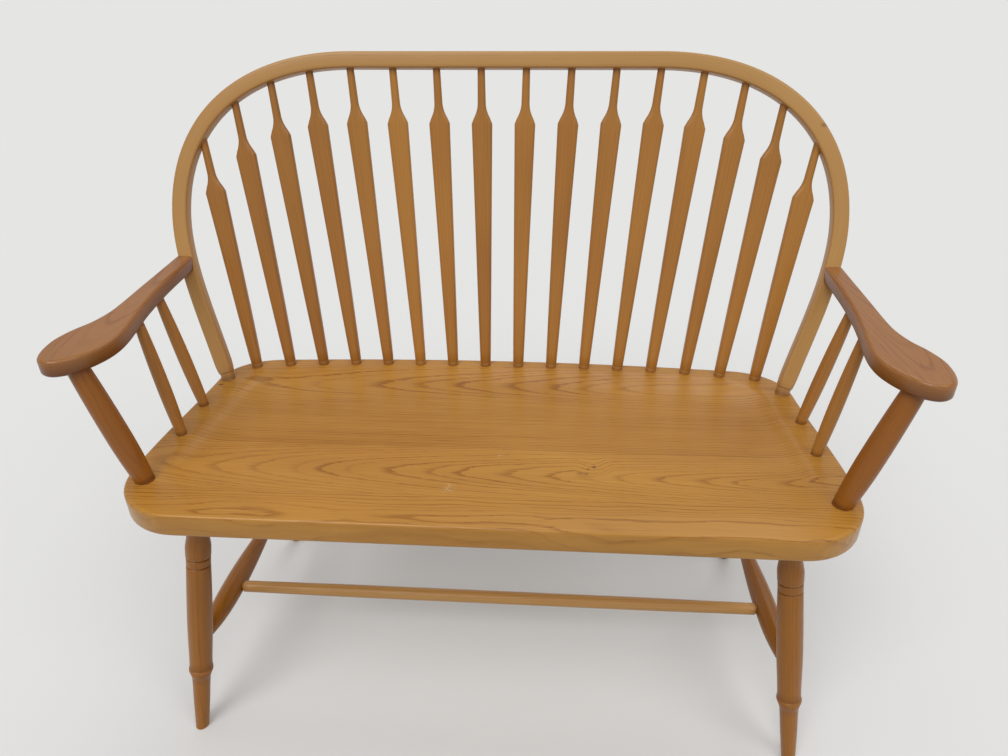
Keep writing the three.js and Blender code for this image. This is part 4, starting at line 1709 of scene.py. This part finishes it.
    def build_spindle(self, row: Row) -> Piece:
        """Turns one of the two spindles under the arm.

        Args:
            row: Whether it is the front or the rear one.

        Returns:
            The finished spindle.
        """
        at = row.value
        foot_x = self.side.value * (self.seat.front_half - self.spindle_foot_inset)
        top_x = self.side.value * (self.inside + self.spindle_top_out[at])
        y = lerp(self.seat.low.y, self.seat.high.y, self.spindle_foot_shares[at])
        top = Vector((top_x, y + self.spindle_top_lean[at], self.underside))
        stick = Stick(Vector((foot_x, y, self.seat.high.z)), top)
        name = f"arm_spindle_{self.side.word}_{row.word}"
        start = self.spindle_timber + 2 * self.side.value + at
        return self._under(name, stick, self.spindle_radii, self.spindle_belly_share, start)

    def build_plug(self) -> Piece:
        """Cuts the plug over the screw, with its face along the bow's back.

        Returns:
            The finished plug.
        """
        lean, half_depth = self.bow.lean, self.bow.depth / 2
        height = self.top - self.thickness / 2 - self.seat.high.z
        rise = (height + half_depth * math.sin(lean)) / math.cos(lean)
        middle = self.bow.at(self.side.value * self.bow.across_at(rise), rise, half_depth)
        loft = Loft("screw_plug_" + self.side.word, self.PLUG_SIDES)
        edge = [(1.0, -self.plug_depth, self.plug_stain), (1.0, 0.0, self.plug_edge_stain)]
        face = [(share, proud * self.plug_proud, self.plug_stain) for share, proud in self.DOME]
        for share, behind, stain_and_shade in edge + face:
            ring, grain = [], []
            for across, up in Section.round(share * self.plug_radius).corners(self.PLUG_SIDES):
                ring.append(middle + Vector((across, behind - up * math.tan(lean), up)))
                grain.append(Vector((across, behind, up + self.plug_timber)))
            loft.draw(ring, grain, stain_and_shade)
        return loft.close()

    def build(self) -> None:
        """Builds and dresses the whole arm."""
        word = self.side.word
        dress(self.build_paddle(), ARM_OAK, word + "_arm")
        dress(self.build_post(), POST_OAK, word + "_arm_post")
        for row in Row:
            node = f"{word}_arm_spindle_{row.word}"
            dress(self.build_spindle(row), SPINDLE_OAK, node, self.spindle_tone)
        dress(self.build_plug(), BOW_OAK, word + "_arm_plug", self.plug_tone)
        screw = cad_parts[word + "_arm_screw"]
        screw.data.materials.clear()
        screw.data.materials.append(ZincFinish().material())
        log.info("%s_arm_screw: kept, dressed in zinc", word)


@dataclass
class Underframe:
    """The four splayed legs, the two side stretchers and the centre stretcher."""

    seat: Seat
    end_inset: tuple[float, float] = (0.0755, 0.066)
    edge_inset: tuple[float, float] = (0.107, 0.111)
    splay: tuple[float, float] = (0.054, 0.048)
    rake: tuple[float, float] = (0.07, 0.162)
    foot_radius: float = 0.01
    foot_ease: float = 0.003
    foot_overrun: float = 0.006
    calf_share: float = 0.54
    ankle_radius: float = 0.0136
    cove_share: float = 0.82
    cove_drop: float = 0.3
    shoulder_radius: float = 0.0163
    collar_radius: float = 0.0178
    body_foot_radius: float = 0.0165
    body_radius: float = 0.0176
    waist_radius: float = 0.0171
    bulge_radius: float = 0.0179
    neck_radius: float = 0.0158
    hip_radius: float = 0.017
    tenon_radius: float = 0.013
    groove: float = 0.0019
    bead: float = 0.0116
    ankle_rise: float = 0.097
    shoulder_run: float = 0.0125
    collar_height: float = 0.007
    bead_rise: float = 0.301
    bulge_rise: float = 0.331
    neck_rise: float = 0.348
    hip_rise: float = 0.385
    stretcher_height: float = 0.157
    side_radius: float = 0.0172
    side_blunt_power: float = 2.6
    side_end_radius: float = 0.0076
    side_tone: float = 0.06
    bulge_share: float = 0.345
    centre_radius: float = 0.0102
    centre_end_radius: float = 0.0092
    centre_ease: float = 0.002
    centre_tenon_eases: float = 1.4
    centre_full_share: float = 0.5
    tenon: float = 0.008
    gap: float = 0.0003
    leg_timber: float = 20.0
    leg_timber_steps: tuple[float, float] = (1.7, 5.3)
    side_timber: float = 33.0
    side_timber_step: float = 2.3
    centre_timber: float = 41.0

    LEG_STEPS = 5
    SIDE_STEPS = 26
    CENTRE_STEPS = 4
    CENTRE_SHARES = (0.1, 0.2, 0.3, 0.4, 0.5, 0.75)
    CUT_MARGIN = 1e-6

    def leg_stick(self, side: Side, row: Row) -> Stick:
        """The axis of a leg, from the floor to the seat's underside.

        Args:
            side: The end of the bench that it stands at.
            row: Whether it is a front or a rear leg.

        Returns:
            The axis.
        """
        at = row.value
        outwards = -1 if row is Row.FRONT else 1
        half = self.seat.front_half if row is Row.FRONT else self.seat.back_half
        edge = self.seat.low.y if row is Row.FRONT else self.seat.high.y
        top_y = edge - outwards * self.edge_inset[at]
        top = Vector((half - self.end_inset[at], top_y, self.seat.low.z))
        foot = Vector((top.x + self.splay[at], top.y + outwards * self.rake[at], 0))
        flip = Vector((side.value, 1, 1))
        return Stick(foot * flip, top * flip)

    def leg_profile(self, length: float) -> Profile:
        """A leg's knots from the floor up, as in the turner's pattern.

        Args:
            length: The leg's length along its axis.

        Returns:
            Distance along the leg and radius.
        """
        stretch = length / self.seat.low.z
        groove, waist = self.groove, self.waist_radius
        ankle, bead = self.ankle_rise * stretch, self.bead_rise * stretch
        collar = ankle + self.shoulder_run
        collar_top = collar + self.collar_height
        bead_top = bead + self.bead
        neck_middle = (self.bulge_rise + self.neck_rise) / 2 * stretch
        hip_middle = (self.hip_rise + self.seat.low.z) / 2 * stretch
        calf = lerp(self.foot_radius, self.ankle_radius, self.calf_share)
        cove = lerp(self.ankle_radius, self.shoulder_radius, self.cove_share)
        return [
            (self.foot_ease, self.foot_radius),
            (ankle * 0.5, calf),
            (ankle, self.ankle_radius),
            (collar - self.shoulder_run * self.cove_drop, cove),
            (collar - groove / 2, self.shoulder_radius),
            (collar, self.shoulder_radius - groove / 2),
            (collar + groove / 2, self.collar_radius - groove / 4),
            (collar + self.collar_height / 2, self.collar_radius),
            (collar_top, self.collar_radius - groove / 4),
            (collar_top + groove / 2, self.body_foot_radius),
            ((ankle + bead) / 2, self.body_radius + groove / 4),
            (bead - groove, waist),
            (bead, waist - groove),
            (bead + groove, waist),
            (bead_top, waist),
            (bead_top + groove, waist - groove),
            (bead_top + 2 * groove, waist + groove / 4),
            (self.bulge_rise * stretch, self.bulge_radius),
            (neck_middle, (self.bulge_radius + self.neck_radius) / 2),
            (self.neck_rise * stretch, self.neck_radius),
            (self.hip_rise * stretch, self.hip_radius),
            (hip_middle, (self.hip_radius + self.tenon_radius) / 2),
            (length - groove, self.tenon_radius),
        ]

    def build_leg(self, side: Side, row: Row) -> Piece:
        """Turns one leg and cuts its foot level with the floor.

        Args:
            side: The end of the bench that it stands at.
            row: Whether it is a front or a rear leg.

        Returns:
            The finished leg.
        """
        stick = self.leg_stick(side, row)
        knots = self.leg_profile(stick.length)
        profile = [(-self.foot_overrun, self.foot_radius), *easy_profile(knots, self.LEG_STEPS)]
        profile.append((stick.length + self.tenon, self.tenon_radius))
        side_step, row_step = self.leg_timber_steps
        start = self.leg_timber + side.value * side_step + row.value * row_step
        piece = turn(f"leg_{side.word}_{row.word}", stick, profile, start, (stick.length,))
        deselect()
        piece.select_set(True)
        bpy.context.view_layer.objects.active = piece
        bpy.ops.object.mode_set(mode="EDIT")
        bpy.ops.mesh.select_all(action="SELECT")
        bpy.ops.mesh.bisect(
            plane_co=(0, 0, 0),
            plane_no=(0, 0, 1),
            clear_inner=True,
            use_fill=True,
            threshold=self.CUT_MARGIN,
        )
        bpy.ops.object.mode_set(mode="OBJECT")
        bpy.ops.object.shade_smooth_by_angle(angle=SMOOTH_ANGLE)
        return piece

    def side_stick(self, side: Side) -> Stick:
        """The axis of a side stretcher, between the axes of its two legs.

        Args:
            side: The end of the bench that it is at.

        Returns:
            The axis, from the front leg to the rear one.
        """
        legs = [self.leg_stick(side, row) for row in Row]
        share = self.stretcher_height / self.seat.low.z
        return Stick(*(leg.foot.lerp(leg.top, share) for leg in legs))

    def build_side(self, side: Side) -> Piece:
        """Turns a side stretcher, thickest where the centre stretcher meets it.

        Args:
            side: The end of the bench that it is at.

        Returns:
            The finished stretcher.
        """
        stick = self.side_stick(side)
        face = self.body_radius + self.gap
        far = stick.length - face
        end, belly = self.side_end_radius, self.side_radius
        thickest = stick.length * self.bulge_share
        shares = [step / self.SIDE_STEPS for step in range(self.SIDE_STEPS + 1)]
        profile = [(face - self.tenon, end)]
        for out in reversed(shares[1:]):
            radius = lerp(belly, end, out**self.side_blunt_power)
            profile.append((lerp(thickest, face, out), radius))
        for out in shares:
            radius = lerp(belly, end, (1 - math.cos(math.pi * out)) / 2)
            profile.append((lerp(thickest, far, out), radius))
        profile.append((far + self.tenon, end))
        start = self.side_timber + side.value * self.side_timber_step
        return turn("side_stretcher_" + side.word, stick, profile, start, (face, far))

    def build_centre(self) -> Piece:
        """Turns the centre stretcher between the thickest places of the side stretchers.

        Returns:
            The finished stretcher.
        """
        sides = [self.side_stick(side) for side in Side]
        ends = [stick.foot.lerp(stick.top, self.bulge_share) for stick in sides]
        stick = Stick(*ends, Vector((0, 0, 1)))
        middle, shoulder = stick.length / 2, self.side_radius + self.gap
        end, full, ease = self.centre_end_radius, self.centre_radius, self.centre_ease
        half = [
            (shoulder - self.tenon, end - ease * self.centre_tenon_eases),
            (shoulder, end - ease),
            (shoulder + ease, end),
        ]
        for share in self.CENTRE_SHARES:
            swell = smoothstep(share, 0.0, self.centre_full_share)
            half.append((lerp(shoulder, middle, share), lerp(end, full, swell)))
        other = [(stick.length - along, radius) for along, radius in reversed(half)]
        profile = easy_profile([*half, (middle, full), *other], self.CENTRE_STEPS)
        joints = (shoulder, stick.length - shoulder)
        return turn("centre_stretcher_rail", stick, profile, self.centre_timber, joints)

    def build(self) -> None:
        """Builds and dresses the whole underframe."""
        for side in Side:
            for row in Row:
                dress(self.build_leg(side, row), LEG_OAK, f"{side.word}_{row.word}_leg")
            dress(self.build_side(side), LEG_OAK, side.word + "_side_stretcher", self.side_tone)
        dress(self.build_centre(), STRETCHER_OAK, "centre_stretcher")


@dataclass(frozen=True)
class Sun:
    """A wide soft lamp, by how many degrees it stands round to the side and over the floor."""

    name: str
    bearing: float
    height: float
    power: float

    @property
    def direction(self) -> Vector:
        """The way from the bench to the lamp.

        Returns:
            A direction of length 1.
        """
        bearing, height = math.radians(self.bearing), math.radians(self.height)
        level = math.cos(height)
        return Vector((math.sin(bearing) * level, -math.cos(bearing) * level, math.sin(height)))


@dataclass
class Studio:
    """A plain pale floor, soft light and the camera."""

    camera_place: Vector = field(default_factory=lambda: Vector((0.08334, -0.95748, 1.082)))
    yaw: float = 0.0726
    pitch: float = 0.5269
    roll: float = -0.0098
    lens: float = 27.03
    film_width: float = 36.0
    floor_size: float = 60.0
    floor_seen: Colour = (0.8, 0.8, 0.79)
    floor_unseen: Colour = (0.34, 0.34, 0.34)
    floor_roughness: float = 0.9
    suns: tuple[Sun, ...] = (
        Sun("key_sun", -28, 54, 1.04),
        Sun("fill_sun", 48, 50, 0.5),
        Sun("back_sun", 165, 55, 0.35),
    )
    sun_width: float = math.radians(32)
    sky_strength: float = 0.5

    def build_floor(self) -> None:
        """Lays the floor, which looks pale and throws little light back up."""
        deselect()
        bpy.ops.mesh.primitive_plane_add(size=self.floor_size, location=(0, 0, 0))
        floor = bpy.context.active_object
        floor.name = "studio_floor"
        material = bpy.data.materials.new("pale_floor")
        graph = Graph(material)
        path = graph.node("LightPath").outputs
        seen = graph.math("MAXIMUM", path["Is Camera Ray"], path["Is Glossy Ray"])
        colour = graph.mix(seen, self.floor_unseen, self.floor_seen)
        shader = graph.shader(colour, self.floor_roughness)
        shader.inputs["Specular IOR Level"].default_value = 0.0
        floor.data.materials.append(material)

    def build_light(self) -> None:
        """Lights the room evenly from the sky and from the wide soft suns."""
        for sun in self.suns:
            data = bpy.data.lights.new(sun.name, "SUN")
            data.angle = self.sun_width
            data.energy = sun.power
            lamp = bpy.data.objects.new(sun.name, data)
            bpy.context.scene.collection.objects.link(lamp)
            lamp.rotation_euler = (-sun.direction).to_track_quat("-Z", "Y").to_euler()
        world = bpy.data.worlds.new("studio")
        world.use_nodes = True
        background = world.node_tree.nodes["Background"]
        background.inputs["Color"].default_value = (1.0, 1.0, 1.0, 1.0)
        background.inputs["Strength"].default_value = self.sky_strength
        bpy.context.scene.world = world

    def build_camera(self) -> None:
        """Sets the camera at the photograph's height and angle."""
        right = Vector((math.cos(self.yaw), math.sin(self.yaw), 0))
        ahead = Vector((-math.sin(self.yaw), math.cos(self.yaw), 0))
        up = Vector((0, 0, 1))
        look = ahead * math.cos(self.pitch) - up * math.sin(self.pitch)
        over = ahead * math.sin(self.pitch) + up * math.cos(self.pitch)
        across = right * math.cos(self.roll) + over * math.sin(self.roll)
        over = over * math.cos(self.roll) - right * math.sin(self.roll)
        data = bpy.data.cameras.new("photo_camera")
        data.sensor_width = self.film_width
        data.lens = self.lens
        camera = bpy.data.objects.new("photo_camera", data)
        bpy.context.scene.collection.objects.link(camera)
        turned = Matrix((across, over, -look)).transposed().to_4x4()
        camera.matrix_world = Matrix.Translation(self.camera_place) @ turned
        bpy.context.scene.camera = camera

    def build(self) -> None:
        """Builds the whole studio."""
        self.build_floor()
        self.build_light()
        self.build_camera()
        bpy.context.scene.view_settings.view_transform = "Standard"
        log.info("studio: floor, sky, %d suns and the camera", len(self.suns))


def main() -> None:
    """Builds the bench piece by piece."""
    logging.basicConfig(level=logging.INFO, format="%(name)s: %(message)s")
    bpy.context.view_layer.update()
    seat = Seat()
    dress(seat.build(), SEAT_OAK, "seat")
    bow = Bow(seat)
    dress(bow.build(), BOW_OAK, "back_bow")
    spindles = ArrowSpindles(seat, bow)
    for piece, number in spindles.build():
        dress(piece, SPINDLE_OAK, f"back_spindle_{number:02d}", spindles.tones[number - 1])
    for side in Side:
        Arm(seat, bow, side).build()
    Underframe(seat).build()
    Studio().build()


if __name__ == "__main__":
    main()
